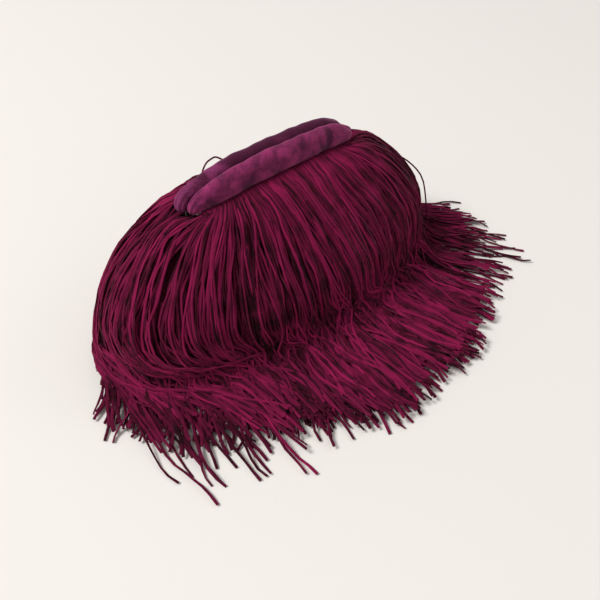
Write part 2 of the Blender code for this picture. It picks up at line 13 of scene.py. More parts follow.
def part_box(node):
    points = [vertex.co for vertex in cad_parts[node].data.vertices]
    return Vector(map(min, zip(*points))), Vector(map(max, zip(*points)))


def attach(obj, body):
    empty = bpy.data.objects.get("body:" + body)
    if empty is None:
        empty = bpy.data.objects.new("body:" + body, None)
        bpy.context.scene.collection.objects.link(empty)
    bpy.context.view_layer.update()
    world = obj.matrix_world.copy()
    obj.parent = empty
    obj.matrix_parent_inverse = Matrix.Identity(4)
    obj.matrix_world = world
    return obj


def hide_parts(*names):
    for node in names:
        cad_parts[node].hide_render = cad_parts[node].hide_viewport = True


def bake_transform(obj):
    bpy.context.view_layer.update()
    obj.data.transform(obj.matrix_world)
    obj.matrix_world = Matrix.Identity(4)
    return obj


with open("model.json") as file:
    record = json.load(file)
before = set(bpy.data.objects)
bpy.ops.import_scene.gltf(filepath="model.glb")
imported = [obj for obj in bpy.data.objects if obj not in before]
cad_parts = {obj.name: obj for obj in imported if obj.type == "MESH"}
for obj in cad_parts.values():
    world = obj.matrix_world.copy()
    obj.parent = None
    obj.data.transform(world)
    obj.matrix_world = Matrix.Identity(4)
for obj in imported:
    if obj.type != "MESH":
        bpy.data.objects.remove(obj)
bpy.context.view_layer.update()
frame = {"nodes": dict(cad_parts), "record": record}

bl_info = {
    "name": "Fringed suede bag",
    "version": (1, 0, 0),
    "blender": (4, 5, 0),
    "location": "View3D > Sidebar > Suede Bag",
    "description": "Dresses the solids of a fringed suede bag with strips, rolls and finishes",
    "category": "Object",
}

# Places that come from the frame
HINGE_HEIGHT = frame["record"]["behaviour"]["joints"][0]["pos_m"][2]
PIN_LOW, PIN_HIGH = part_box("hinge_pin_right")
FRAME_HALF_LENGTH = (PIN_LOW[0] + PIN_HIGH[0]) / 2
ROLL_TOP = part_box("front_roll_cover")[1][2]
SHELL_HALF_LENGTH, SHELL_HALF_DEPTH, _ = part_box("outer_shell")[1]
SIDES = ((1, "rear"), (-1, "front"))

# Rolls: an arch over the mouth, with an oval section that grows from its ends to its middle
ARCH_SQUARENESS = 2.8
ROLL_HALF_WIDTH = 0.0086
ROLL_HALF_HEIGHT = 0.0120
ROLL_END_HALF_WIDTH = 0.0048
ROLL_END_HALF_HEIGHT = 0.0062
ROLL_PARTING = 0.0006
ROLL_END_HEIGHT = HINGE_HEIGHT + 0.0125
ROLL_MIDDLE_HEIGHT = ROLL_TOP - ROLL_HALF_HEIGHT
MIDDLE_OFFSET = ROLL_HALF_WIDTH + ROLL_PARTING / 2
END_OFFSET = ROLL_END_HALF_WIDTH + ROLL_PARTING / 2
ROLL_LENGTH = FRAME_HALF_LENGTH * 2.2
ROLL_ROWS = 260
ROLL_COLUMNS = 72
ROUNDED_END = 0.008
PUCKERS = 9
PUCKER_DEPTH = 0.07
PUCKER_REACH = 0.014
LEAST_RADIUS = 0.885
LEFT_END = 0.16
SEAM_ANGLE = math.radians(52)

# Pouch: its wall, its lining, the rim under the hinges, and the folds and sags in the wall
SUEDE = 0.0014
LINING_GAP = 0.0003
LINING_CLOTH = 0.0008
RIM_HEIGHT = HINGE_HEIGHT - 0.005
RIM_HALF_LENGTH = FRAME_HALF_LENGTH + 0.0099
RIM_HALF_DEPTH = 0.032
RIM_SQUARENESS = 3.0
RIM_LIFT = 0.0075
WALL_INSET = 0.0012
FOLD_DEPTH = 0.0008
SAG_DEPTH = 0.0010
PLEAT_DEPTH = 0.0016

# The fringe's lie: the grid of the surface that it falls over, and a strip's steps
DRAPE_ROWS = 180
DRAPE_COLUMNS = 1440
STRIP_STEPS = 150

# Rings of that surface: the neck, and from the shoulder to the table how far each stands out from
# the pouch's belly lengthways and crossways, its squareness, its height and its shift to the rear
NECK_REACH = 0.027
NECK_HALF_DEPTH = 0.039
NECK_SQUARENESS = 2.8
NECK_RISE = 0.001
BODY_RINGS = ((-0.014, -0.013, 2.5, 0.096, 0.0),
              (0.0060, 0.0035, 2.3, 0.061, 0.0),
              (0.0090, 0.0060, 2.2, 0.034, 0.0),
              (0.0160, 0.0190, 2.1, 0.0130, -0.002),
              (0.0380, 0.0480, 2.1, 0.0030, -0.008))
PAST_TIPS = 0.035

# Ends of the rolls, where the strips are sewn under them: half the share round that an end takes,
# the share down the drape that the roots start from, and how the strips leave
END_ZONE = 0.014
END_ROOT = 0.012
END_CLEARANCE = 0.0010
END_INSET = 0.003
END_CREST = 0.0080

# Shares down the drape: where the comb takes hold, where strips lie on the table, where they kink
LEAN_OVER = 0.2
LAID_BY = 0.62
TABLE_AT = 0.56
TABLE_OVER = 0.12
KINK_REACH = 0.09
LOCK_KINK = 0.58
STRIP_KINK = 0.64

# Waves of locks and strips: their lengths, and their heights in radians, shares or metres
SLOW_WAVES = ((0.18, 0.09), (0.09, 0.07))
QUICK_WAVES = ((0.13, 0.075), (0.15, 0.13))
KINK_WAVES = ((0.080, 0.055), (0.60, 0.42))
DRIFT_WAVES = ((0.13, 0.060), (0.0011, 0.0007))
CURL_WAVES = ((0.15, 0.085, 0.050), (0.0042, 0.0020, 0.0007))
LIFT_WAVES = ((0.10, 0.055), (0.5, 0.5))
RAISED_WAVES = ((0.08, 0.045), (0.6, 0.4))
TWIST_WAVES = ((0.21, 0.10), (0.45, 0.35))

# How strips lie on each other: strips laid at a time, how far from its root a strip lies free,
# and how far it lifts on the body, in the kink and on the table
LAID_AT_A_TIME = 14
ROOT_FREE = 0.022
BODY_LIFT = 0.0016
KINK_LIFT = 0.0090
TABLE_LIFT = 0.0020
MOST_RAISED = 0.0014

# How the fringe is combed, in pairs of a share of the way round and a value. The way round runs
# from the right end by way of the rear. The lean on the body is in degrees towards a growing share,
# and the comb on the table is in degrees from +X, for the top layer and for what lies under it
BODY_LEAN = ((0.0, -2), (0.10, 0), (0.28, 0), (0.34, -9), (0.39, -16), (0.43, -9), (0.465, 0), (0.49, 5),
             (0.53, 8), (0.58, 6), (0.66, 10), (0.74, 9), (0.80, 2), (0.86, -6), (0.92, -11), (0.97, -8),
             (1.0, -2))
TABLE_COMB = ((0.0, -34), (0.03, -18), (0.06, 20), (0.10, 50), (0.20, 84), (0.26, 84), (0.31, 60),
              (0.365, 35), (0.395, -105), (0.43, -100), (0.47, -92), (0.51, -82), (0.55, -72), (0.585, -67),
              (0.62, -78), (0.66, -94), (0.72, -92), (0.76, -86), (0.81, -78), (0.86, -75), (0.91, -66),
              (0.95, -52), (1.0, -34))
UNDER_COMB = ((0.0, -30), (0.03, -14), (0.06, 20), (0.10, 50), (0.20, 84), (0.26, 84), (0.31, 60),
              (0.365, 35), (0.395, -102), (0.44, -98), (0.465, -106), (0.49, -126), (0.52, -142),
              (0.55, -138), (0.58, -130), (0.61, -120), (0.66, -110), (0.71, -98), (0.76, -90), (0.82, -84),
              (0.90, -70), (0.95, -50), (1.0, -30))
COMB_LIMIT = 78
LANDING = ((0.0, 0.47), (0.36, 0.46), (0.41, 0.33), (0.51, 0.33), (0.58, 0.41), (0.68, 0.45), (0.90, 0.45),
           (1.0, 0.47))
LENGTH_SHARE = ((0.0, 1.07), (0.02, 0.92), (0.04, 0.78), (0.10, 0.84), (0.25, 0.97), (0.30, 0.93),
                (0.36, 0.97), (0.42, 1.10), (0.46, 1.20), (0.49, 1.22), (0.52, 1.13), (0.55, 0.97),
                (0.58, 0.92), (0.62, 0.92), (0.66, 1.0), (0.70, 0.97), (0.75, 0.93), (0.90, 1.00),
                (0.95, 1.08), (1.0, 1.09))

# Strands that stand off the rest, as shares round and down the drape and a height over it: the
# arch behind the rear roll, the one at the left outline and the one that stands off the right end
LOOSE_STRANDS = {
    "rear": (((0.372, 0.24, 0.0), (0.3646, 0.211, 0.004), (0.3556, 0.2056, 0.010), (0.3472, 0.189, 0.0145),
              (0.334, 0.178, 0.0155), (0.3236, 0.167, 0.011), (0.3125, 0.161, 0.003), (0.30, 0.15, -0.001)),
             ((0.381, 0.30, 0.0), (0.383, 0.33, 0.005), (0.387, 0.36, 0.008), (0.392, 0.39, 0.008),
              (0.398, 0.42, 0.004), (0.403, 0.45, 0.0))),
    "front": (((0.974, 0.20, 0.0), (0.977, 0.28, 0.003), (0.9785, 0.35, 0.009), (0.976, 0.44, 0.014),
               (0.972, 0.55, 0.016), (0.968, 0.68, 0.012), (0.964, 0.80, 0.003), (0.957, 0.84, 0.001)),),
}
LOOSE_WIDTH = 0.6
LOOSE_TONE = 0.3

# Places of the lamps, and the point that the camera looks at
KEY_PLACE = (-3.2, 1.43, 4.9)
FILL_PLACE = (1.6, -1.0, 1.5)
CAMERA_AIM = (0.010, -0.030, 0.0)


# Shapes and sums that several pieces share

def ease(value):
    """Smooth step: 3v^2 - 2v^3 of the value held between 0 and 1."""
    value = np.clip(value, 0, 1)
    return value * value * (3 - 2 * value)


def bell(value):
    """A hump of height 1 round zero: e to the power of minus the value squared."""
    return np.exp(-np.square(value))


class Fold(NamedTuple):
    """One fold in a roll: its place along it, its slant, its width, its depth, the angle that it
    faces and how tightly it keeps to that side."""

    at: float
    lean: float
    wide: float
    deep: float
    facing: float
    grip: float


class Row(NamedTuple):
    """One fringe row: its strips and layers, where it is sewn and ends on the drape, the pitch of
    its locks, how much it wanders, how much its lowest and highest layers are swept, and how
    much painted light its top layer gets, the layers and rows under it getting painted shade."""

    name: str
    strips: int
    layers: int
    root: float
    reach: float
    lock_pitch: float
    wander: float
    least_swept: float
    most_swept: float
    painted_light_share: float


def by_share(pairs, share):
    """Values read between pairs of a share and a value."""
    return np.interp(share, *zip(*pairs))


def smooth_through(stations, along):
    """Cubic pieces through stations at even shares of a way, never swinging past a station.

    The slope at a station is the harmonic mean of the steps on both sides, or level where
    they turn back.
    """
    stations = np.asarray(stations, dtype=float)
    steps = np.diff(stations, axis=0)
    together = steps[:-1] * steps[1:]
    total = steps[:-1] + steps[1:]
    middle = np.where(together > 0, 2 * together / np.where(total == 0, 1, total), 0)
    slopes = np.concatenate([steps[:1], middle, steps[-1:]])
    place = np.clip(np.asarray(along, dtype=float), 0, 1) * (len(stations) - 1)
    index = np.minimum(place.astype(int), len(stations) - 2)
    share = (place - index).reshape(place.shape + (1,) * (stations.ndim - 1))
    start, end = stations[index], stations[index + 1]
    rise = start + (end - start) * share * share * (3 - 2 * share)
    lean = slopes[index] * share * (1 - share) ** 2
    return rise + (lean - slopes[index + 1] * share * share * (1 - share))


def plan_ring(half_length, half_depth, squareness, turn):
    """Points of a superellipse at even shares of its way round, from the +X end by way of +Y."""
    angle = np.linspace(0, 2 * math.pi, 1441)
    cosine, sine = np.cos(angle), np.sin(angle)
    x = half_length * np.sign(cosine) * np.abs(cosine) ** (2 / squareness)
    y = half_depth * np.sign(sine) * np.abs(sine) ** (2 / squareness)
    travelled = np.concatenate([[0], np.cumsum(np.hypot(np.diff(x), np.diff(y)))])
    share = travelled / travelled[-1]
    return np.interp(turn, share, x), np.interp(turn, share, y)


def waves(rng, rows, places, lengths, heights):
    """Sums of sines for many rows: each row gets its own phases, and about the given wave lengths."""
    total = np.zeros((rows, places.shape[-1]))
    for length, height in zip(lengths, heights):
        own_length = length * rng.uniform(0.75, 1.3, (rows, 1))
        phase = rng.uniform(0, 2 * math.pi, (rows, 1))
        total += height * np.sin(2 * math.pi * places / own_length + phase)
    return total


def unit(vectors):
    """Vectors of length one along the last axis."""
    length = np.linalg.norm(vectors, axis=-1, keepdims=True)
    return vectors / np.maximum(length, 1e-12)


def grid_faces(rows, columns, closed):
    """Quads between neighbouring rows of a grid; closed joins the last column to the first."""
    last = columns if closed else columns - 1
    row, column = np.meshgrid(np.arange(rows - 1), np.arange(last), indexing="ij")
    after = (column + 1) % columns
    low, high = row * columns, (row + 1) * columns
    return np.stack([low + column, low + after, high + after, high + column], axis=-1).reshape(-1, 4)


def new_piece(name, points, quads, caps=(), smooth_angle=60):
    """A mesh object at the origin from an array of points, an array of quads and a few other faces."""
    mesh = bpy.data.meshes.new(name)
    faces = quads.tolist() + [list(cap) for cap in caps]
    mesh.from_pydata(points.reshape(-1, 3), [], faces)
    mesh.polygons.foreach_set("use_smooth", np.ones(len(mesh.polygons), dtype=bool))
    mesh.set_sharp_from_angle(angle=math.radians(smooth_angle))
    mesh.update()
    piece = bpy.data.objects.new(name, mesh)
    bpy.context.scene.collection.objects.link(piece)
    return piece


def set_point_values(piece, name, values):
    """One number for each point of a piece, which its material reads by name."""
    attribute = piece.data.attributes.new(name, "FLOAT", "POINT")
    attribute.data.foreach_set("value", values.reshape(-1).astype(np.float32))


# Rolls

def roll_arch(way, side):
    """Centre line of a roll over the mouth, and its share of the rise.

    Half of a superellipse in the XZ plane; the way runs from 0 at -X to 1 at +X, and the
    roll stands off its partner by its own half width.
    """
    angle = math.pi * (1 - np.asarray(way, dtype=float))
    cosine, sine = np.cos(angle), np.clip(np.sin(angle), 0, None)
    x = FRAME_HALF_LENGTH * np.sign(cosine) * np.abs(cosine) ** (2 / ARCH_SQUARENESS)
    share = sine ** (2 / ARCH_SQUARENESS)
    z = ROLL_END_HEIGHT + (ROLL_MIDDLE_HEIGHT - ROLL_END_HEIGHT) * share
    y = side * (END_OFFSET + (MIDDLE_OFFSET - END_OFFSET) * share)
    return np.stack([x, y, z], axis=-1), share


def even_ways(shares):
    """Parameters of the arch at even shares of its length."""
    way = np.linspace(0, 1, 721)
    arch, _ = roll_arch(way, -1)
    travelled = np.concatenate([[0], np.cumsum(np.linalg.norm(np.diff(arch, axis=0), axis=1))])
    return np.interp(shares * travelled[-1], travelled, way)


def roll_section(share):
    """Half width and half height of a roll at a share of its rise."""
    width = ROLL_END_HALF_WIDTH + (ROLL_HALF_WIDTH - ROLL_END_HALF_WIDTH) * share
    height = ROLL_END_HALF_HEIGHT + (ROLL_HALF_HEIGHT - ROLL_END_HALF_HEIGHT) * share
    return width, height


def arch_outward(way, side):
    """Unit vectors in the arch's own plane, square to it and away from the mouth."""
    ahead, _ = roll_arch(np.clip(way + 0.002, 0, 1), side)
    behind, _ = roll_arch(np.clip(way - 0.002, 0, 1), side)
    tangent = unit(ahead - behind)
    return unit(np.stack([-tangent[..., 2], np.zeros_like(tangent[..., 2]), tangent[..., 0]], axis=-1))


# Fringe

def seam_points(turn, side, away):
    """Points under a roll where the fringe is sewn, at shares of the way round the bag.

    The line lies at an angle below the roll's outer face, easing to its side at the ends.
    """
    half = (turn - 0.5) * 2 if side < 0 else 1 - turn * 2
    way = even_ways(np.clip(half, 0, 1))
    points, share = roll_arch(way, side)
    width, height = roll_section(share)
    turn_down = SEAM_ANGLE * ease(share * 1.4)
    across = (width + away) * np.cos(turn_down)
    down = (height + away) * np.sin(turn_down)
    outward = arch_outward(way, side)
    points = points - outward * down[..., None]
    points[..., 1] += side * across
    return points


def sewn_under_ends(turn, seam, crest):
    """Seam and crest with their ends drawn in under the rolls' ends, in a loop over each end."""
    for middle, side in ((0.0, 1), (0.5, -1)):
        aside = ((turn - middle + 0.5) % 1 - 0.5) / END_ZONE
        share = ease(1.2 - np.abs(aside))[:, None]
        across = side * np.clip(aside, -1, 1) * (END_OFFSET + ROLL_END_HALF_WIDTH)
        under = np.full_like(across, ROLL_END_HEIGHT - ROLL_END_HALF_HEIGHT - END_CLEARANCE)
        root_x = np.full_like(across, side * (FRAME_HALF_LENGTH - END_INSET))
        crest_x = np.full_like(across, side * (FRAME_HALF_LENGTH + END_CREST))
        root = np.stack([root_x, across, under], axis=-1)
        out = np.stack([crest_x, across * 1.5, under + END_CLEARANCE], axis=-1)
        seam = seam * (1 - share) + root * share
        crest = crest * (1 - share) + out * share
    return seam, crest


def drape_table(shape):
    """Points, outward normals, sizes and downhill steps of the surface that the fringe falls over.

    Stations run from the seam over the crest, neck, shoulder, belly and hang down to the
    table and out past the tips; each is a ring, and smooth cubics join them.
    """
    turn = np.arange(DRAPE_COLUMNS) / DRAPE_COLUMNS
    hanging = turn + shape.hang_straight * np.sin(4 * math.pi * turn) / (4 * math.pi)
    rear = (turn < 0.5)[:, None]
    seam = np.where(rear, seam_points(turn, 1, 0.0), seam_points(turn, -1, 0.0))
    crest = np.where(rear, seam_points(turn, 1, shape.crest_reach), seam_points(turn, -1, shape.crest_reach))
    crest[:, 2] = seam[:, 2] + shape.crest_rise
    seam, crest = sewn_under_ends(turn, seam, crest)
    length, depth = shape.tip_half_length, shape.tip_half_depth
    rings = [(FRAME_HALF_LENGTH + NECK_REACH, NECK_HALF_DEPTH, NECK_SQUARENESS,
              HINGE_HEIGHT + NECK_RISE, 0.0)]
    rings += [(SHELL_HALF_LENGTH + out, SHELL_HALF_DEPTH + aside, squareness, height, shift)
              for out, aside, squareness, height, shift in BODY_RINGS]
    rings += [(length, depth, 2.0, 0.0, -shape.tip_forward),
              (length + PAST_TIPS, depth + PAST_TIPS, 2.0, 0.0, -shape.tip_forward)]
    stations = [seam, crest]
    rear_left = bell((turn - 0.40) / 0.10)
    for half_length, half_depth, squareness, height, shift in rings:
        x, y = plan_ring(half_length, half_depth, squareness, hanging)
        full = ease((height - 0.055) / 0.04) * rear_left
        low = bell((height - 0.045) / 0.02) * rear_left
        wider = 1 + shape.rear_left_full * full + shape.rear_left_low * low
        x, y, height = x * wider, y * wider, height + shape.rear_left_rise * full
        stations.append(np.stack([x, y + shift, np.full_like(x, height)], axis=-1))
    points = smooth_through(np.stack(stations), np.linspace(0, 1, DRAPE_ROWS + 1))
    down = np.gradient(points, axis=0) * DRAPE_ROWS
    round_way = (np.roll(points, -1, axis=1) - np.roll(points, 1, axis=1)) * (DRAPE_COLUMNS / 2)
    normals = unit(np.cross(down, round_way))
    normals[normals[..., 2] < -0.4] *= -1
    sizes = np.stack([np.linalg.norm(down, axis=-1), np.linalg.norm(round_way, axis=-1)], axis=-1)
    return points, normals, np.maximum(sizes, 1e-3), down[..., :2]


def sample(table, along, turn):
    """Values of a table between its grid points, by shares down it and round it."""
    rows, columns = table.shape[0] - 1, table.shape[1]
    place, round_place = np.clip(along, 0, 1) * rows, (turn % 1.0) * columns
    row = np.minimum(place.astype(int), rows - 1)
    column = round_place.astype(int) % columns
    a, b = (place - row)[..., None], (round_place - np.floor(round_place))[..., None]
    after = (column + 1) % columns
    low = table[row, column] * (1 - b) + table[row, after] * b
    high = table[row + 1, column] * (1 - b) + table[row + 1, after] * b
    return low * (1 - a) + high * a


def comb_angle(turn, along, downhill, swept, lands):
    """Angle from straight downhill that the fringe is combed to, towards a growing turn.

    On the body the strips lean a little to one side. On the table, from where a lock lands,
    they lie in the direction combed for their place: the more swept, the more of the top
    layer's direction and the less of the one under it.
    """
    turn = turn % 1.0
    over, under = np.radians(by_share(TABLE_COMB, turn)), np.radians(by_share(UNDER_COMB, turn))
    apart = (over - under + math.pi) % (2 * math.pi) - math.pi
    aside = np.degrees(under + apart * swept - downhill + math.pi) % 360 - 180
    aside = np.clip(aside, -COMB_LIMIT, COMB_LIMIT)
    laid = ease((along - lands) / (LAID_BY - lands))
    return np.radians(by_share(BODY_LEAN, turn) * ease(along / LEAN_OVER) * (1 - laid) + aside * laid)


def guide_paths(rng, table, turn, along, length, wander, swept, lands):
    """Ways of the locks' middle lines over the drape, as shares round and down it.

    Each step goes a fixed distance in the comb's direction, turned by slow waves of its own.
    """
    sizes, downhill = table[2:]
    count = len(turn)
    step = length / STRIP_STEPS
    places = step[:, None] * np.arange(STRIP_STEPS + 1)
    slow, quick, kinked = [waves(rng, count, places, *chosen) * wander
                           for chosen in (SLOW_WAVES, QUICK_WAVES, KINK_WAVES)]
    path_turn = np.empty((count, STRIP_STEPS + 1))
    path_along = np.empty((count, STRIP_STEPS + 1))
    path_turn[:, 0], path_along[:, 0] = turn, along
    for index in range(STRIP_STEPS):
        now_turn, now_along = path_turn[:, index], path_along[:, index]
        size = sample(sizes, now_along, now_turn)
        heading = sample(downhill, now_along, now_turn)
        angle = comb_angle(now_turn, now_along, np.arctan2(heading[:, 1], heading[:, 0]), swept, lands)
        angle = angle + slow[:, index] * ease(now_along / 0.3)
        angle = angle + quick[:, index] * ease((now_along - TABLE_AT) / TABLE_OVER)
        angle = angle + kinked[:, index] * bell((now_along - LOCK_KINK) / KINK_REACH)
        path_along[:, index + 1] = now_along + step * np.cos(angle) / size[:, 0]
        path_turn[:, index + 1] = now_turn + step * np.sin(angle) / size[:, 1]
    return path_turn, path_along


def read_along(paths, row, share):
    """Values of some paths at shares of their way."""
    place = np.clip(share, 0, 1) * (paths.shape[1] - 1)
    index = np.minimum(place.astype(int), paths.shape[1] - 2)
    part = place - index
    return paths[row, index] * (1 - part) + paths[row, index + 1] * part


def lock_guides(rng, table, base, row):
    """A row's locks: their places round, layers, sweeps, lengths and the ways of their middle lines.

    A row that is sewn to the rolls has two more locks at each end, which start under the roll.
    """
    locks = int(round(0.5 / row.lock_pitch))
    turn = base + (np.arange(locks) + rng.uniform(0.2, 0.8, locks)) / locks * 0.5
    turn = np.repeat(turn, row.layers)
    layer = np.tile(np.arange(row.layers), locks)
    turn = turn + rng.normal(0, 0.25 * row.lock_pitch, len(turn))
    turn = np.clip(turn, base + 0.001, base + 0.499)
    root = np.full(len(turn), row.root)
    if row.root == 0:
        ends = np.tile([base - 0.007, base - 0.001, base + 0.501, base + 0.507], row.layers)
        turn = np.concatenate([turn, ends])
        root = np.concatenate([root, np.full(len(ends), END_ROOT)])
        layer = np.concatenate([layer, np.repeat(np.arange(row.layers), 4)])
    order = layer / max(row.layers - 1, 1)
    swept = row.least_swept + (row.most_swept - row.least_swept) * order + rng.normal(0, 0.13, len(order))
    length = strip_length(table, turn, row, swept) * 1.10
    lands = by_share(LANDING, turn % 1.0) + rng.normal(0, 0.035, len(order))
    ways = guide_paths(rng, table, turn, root, length, row.wander, swept, lands)
    return turn, layer, swept, length, ways


def strip_paths(rng, table, side, row):
    """Ways of one row's strips, as shares round and down the drape and distances from the root.

    A strip goes with the nearest lock of its layer. The strips of a lock close up on the way
    down and part again, and each drifts and curls by waves of its own.
    """
    base = 0.5 if side < 0 else 0.0
    lock_turn, lock_layer, swept, lock_length, ways = lock_guides(rng, table, base, row)
    per_layer = row.strips // row.layers
    turn, layer = [], []
    for number in range(row.layers):
        even = (np.arange(per_layer) + rng.uniform(0.15, 0.85, per_layer)) / per_layer
        turn.append(base - 0.010 + even * 0.520)
        layer.append(np.full(per_layer, number))
    turn, layer = np.concatenate(turn), np.concatenate(layer)
    other_layer = layer[:, None] != lock_layer[None, :]
    lock = np.argmin(np.abs(turn[:, None] - lock_turn[None, :]) + other_layer * 10.0, axis=1)
    length = strip_length(table, turn, row, swept[lock])
    length = length * rng.uniform(0.92, 1.03, len(turn))
    evenly = np.linspace(0, 1, STRIP_STEPS + 1)
    share = (length / lock_length[lock])[:, None] * evenly
    rows = np.broadcast_to(lock[:, None], share.shape)
    places = length[:, None] * evenly
    close = rng.uniform(0.45, 0.85, len(lock_turn))[lock][:, None]
    part = rng.uniform(0.9, 1.9, len(lock_turn))[lock][:, None]
    spread = 1 + (close - 1) * ease(places / 0.10) + (part - close) * ease((places - 0.13) / 0.16)
    path_turn = read_along(ways[0], rows, share) + (turn - lock_turn[lock])[:, None] * spread
    path_along = read_along(ways[1], rows, share)
    sizes = sample(table[2], path_along, path_turn)
    on_table = ease((path_along - TABLE_AT) / TABLE_OVER)
    kink = bell((path_along - STRIP_KINK) / KINK_REACH)
    drift = waves(rng, len(length), places, *DRIFT_WAVES) * ease(places / 0.05)
    curl = waves(rng, len(length), places, *CURL_WAVES)
    sideways = drift + curl * (on_table * 0.8 + kink * 0.5) * row.wander
    return path_turn + sideways / sizes[..., 1], path_along, places, layer


def strip_length(table, turn, row, swept):
    """Length of a strip from its root to the ring of the tips, times the share for its place."""
    along = np.linspace(row.root, row.reach, 60)
    grid_turn = np.broadcast_to(np.asarray(turn)[:, None], (len(turn), 60))
    size = sample(table[2], np.broadcast_to(along, grid_turn.shape), grid_turn)[..., 0]
    straight = size.mean(axis=1) * (row.reach - row.root)
    counts = 0.4 + 0.6 * np.clip(swept, 0, 1)
    return straight * (1 + (by_share(LENGTH_SHARE, np.asarray(turn) % 1.0) - 1) * counts)


def smooth_over(values, reach):
    """Each row of values averaged with its neighbours, by a triangle of weights."""
    padded = np.pad(values, ((0, 0), (reach, reach)), mode="edge")
    total = np.zeros_like(values)
    weights = 0.0
    for offset in range(-reach, reach + 1):
        weight = reach + 1 - abs(offset)
        total += weight * padded[:, reach + offset:reach + offset + values.shape[1]]
        weights += weight
    return total / weights


def highest_near(values, reach):
    """Each value replaced by the highest of its row's neighbours."""
    padded = np.pad(values, ((0, 0), (reach, reach)), mode="edge")
    best = values
    for offset in range(-reach, reach + 1):
        best = np.maximum(best, padded[:, reach + offset:reach + offset + values.shape[1]])
    return best


def pile_up(pile, sizes, path_turn, path_along, places, loft, shape):
    """Height of each strip over the drape, laid in groups on what already lies there.

    A strip rests on the highest thing under its width, bridges short dips, and raises the
    pile by its own thickness.
    """
    rows, columns = pile.shape[0] - 1, pile.shape[1]
    count = len(path_turn)
    heights = np.empty_like(path_turn)
    thick = shape.strip_thickness
    step_turn = np.gradient(path_turn, axis=1)
    step_along = np.gradient(path_along, axis=1)
    size = sample(sizes, path_along, path_turn)
    forward = unit(np.stack([step_along * size[..., 0], step_turn * size[..., 1]], axis=-1))
    groups = max(1, count // LAID_AT_A_TIME)
    for group in range(groups):
        chosen = np.arange(group, count, groups)
        cells = []
        for offset in (-0.35, 0.35):
            aside = offset * shape.strip_width
            turn = path_turn[chosen] + aside * forward[chosen, :, 0] / size[chosen, :, 1]
            along = path_along[chosen] - aside * forward[chosen, :, 1] / size[chosen, :, 0]
            row = np.clip(along * rows, 0, rows - 1).astype(int)
            column = (turn * columns).astype(int) % columns
            cells.append((row, column))
        under = np.max([pile[cell] for cell in cells], axis=0)
        lying = smooth_over(highest_near(under, 2), 5)
        rooted = ease(places[chosen] / ROOT_FREE)
        height = lying * rooted + thick * 0.5
        heights[chosen] = height + loft[chosen] * rooted
        top = height + thick * 0.2
        for row, column in cells:
            np.maximum.at(pile, (row, column), top)
            np.maximum.at(pile, (np.minimum(row + 1, rows), column), top)
    return heights


def lay_strips(rng, table, pile, paths, row, shape):
    """A row's strips on what lies there: middle lines, normals, twists, widths and tones, with painted shade
    on the strips of lower layers and rows.

    Strips lift off the pile by waves of their own, most in the kink, and a high pile is
    pressed down by its own weight.
    """
    points, normals, sizes = table[:3]
    path_turn, path_along, places, layer = paths
    count = len(path_turn)
    kink = bell((path_along - 0.61) / 0.10)
    on_table = ease((path_along - 0.60) / 0.10)
    lift = np.abs(waves(rng, count, places, *LIFT_WAVES))
    loose = rng.uniform(0.2, 1.0, (count, 1)) ** 2
    raised = np.abs(waves(rng, count, places, *RAISED_WAVES))
    loft = lift * loose * (BODY_LIFT * ease(places / 0.04) + KINK_LIFT * kink + TABLE_LIFT * on_table)
    loft = loft + raised * rng.uniform(0, MOST_RAISED, (count, 1)) * ease(places / 0.03)
    heights = np.empty_like(path_turn)
    for number in range(row.layers):
        chosen = np.flatnonzero(layer == number)
        heights[chosen] = pile_up(pile, sizes, path_turn[chosen], path_along[chosen],
                                  places[chosen], loft[chosen], shape)
    pressed = shape.loose_pile * (np.maximum(heights, 1e-6) / shape.loose_pile) ** 0.6
    heights = np.where(heights > shape.loose_pile, pressed, heights)
    normal = unit(sample(normals, path_along, path_turn))
    centre = sample(points, path_along, path_turn) + normal * heights[..., None]
    centre[..., 2] = np.maximum(centre[..., 2], shape.strip_thickness * 0.6)
    turning = waves(rng, count, places, *TWIST_WAVES)
    twist = turning * ease(places / 0.03) * rng.uniform(0.4, 1.6, (count, 1))
    width = shape.strip_width * rng.uniform(0.85, 1.12, (count, 1)) * (1 + 0.22 * on_table)
    # Painted shade: the lower a strip's layer and row lie in the pile, the darker its random tone.
    depth = row.painted_light_share * (layer + 1) / row.layers
    tone_and_shade = rng.uniform(0, 1, count) * (0.25 + 0.75 * depth)
    return centre, normal, twist, width, tone_and_shade


def add_loose(strips, table, place, shape):
    """A row's strips with the few strands of its side that stand off the rest."""
    along = np.linspace(0, 1, STRIP_STEPS + 1)
    ways = np.stack([smooth_through(stations, along) for stations in LOOSE_STRANDS[place]])
    normal = unit(sample(table[1], ways[..., 1], ways[..., 0]))
    centre = sample(table[0], ways[..., 1], ways[..., 0]) + normal * ways[..., 2:]
    twist = np.zeros(centre.shape[:2])
    width = np.full(centre.shape[:2], shape.strip_width * LOOSE_WIDTH)
    tone_and_shade = np.full(len(centre), LOOSE_TONE)
    loose = (centre, normal, twist, width, tone_and_shade)
    return [np.concatenate(both) for both in zip(strips, loose)]


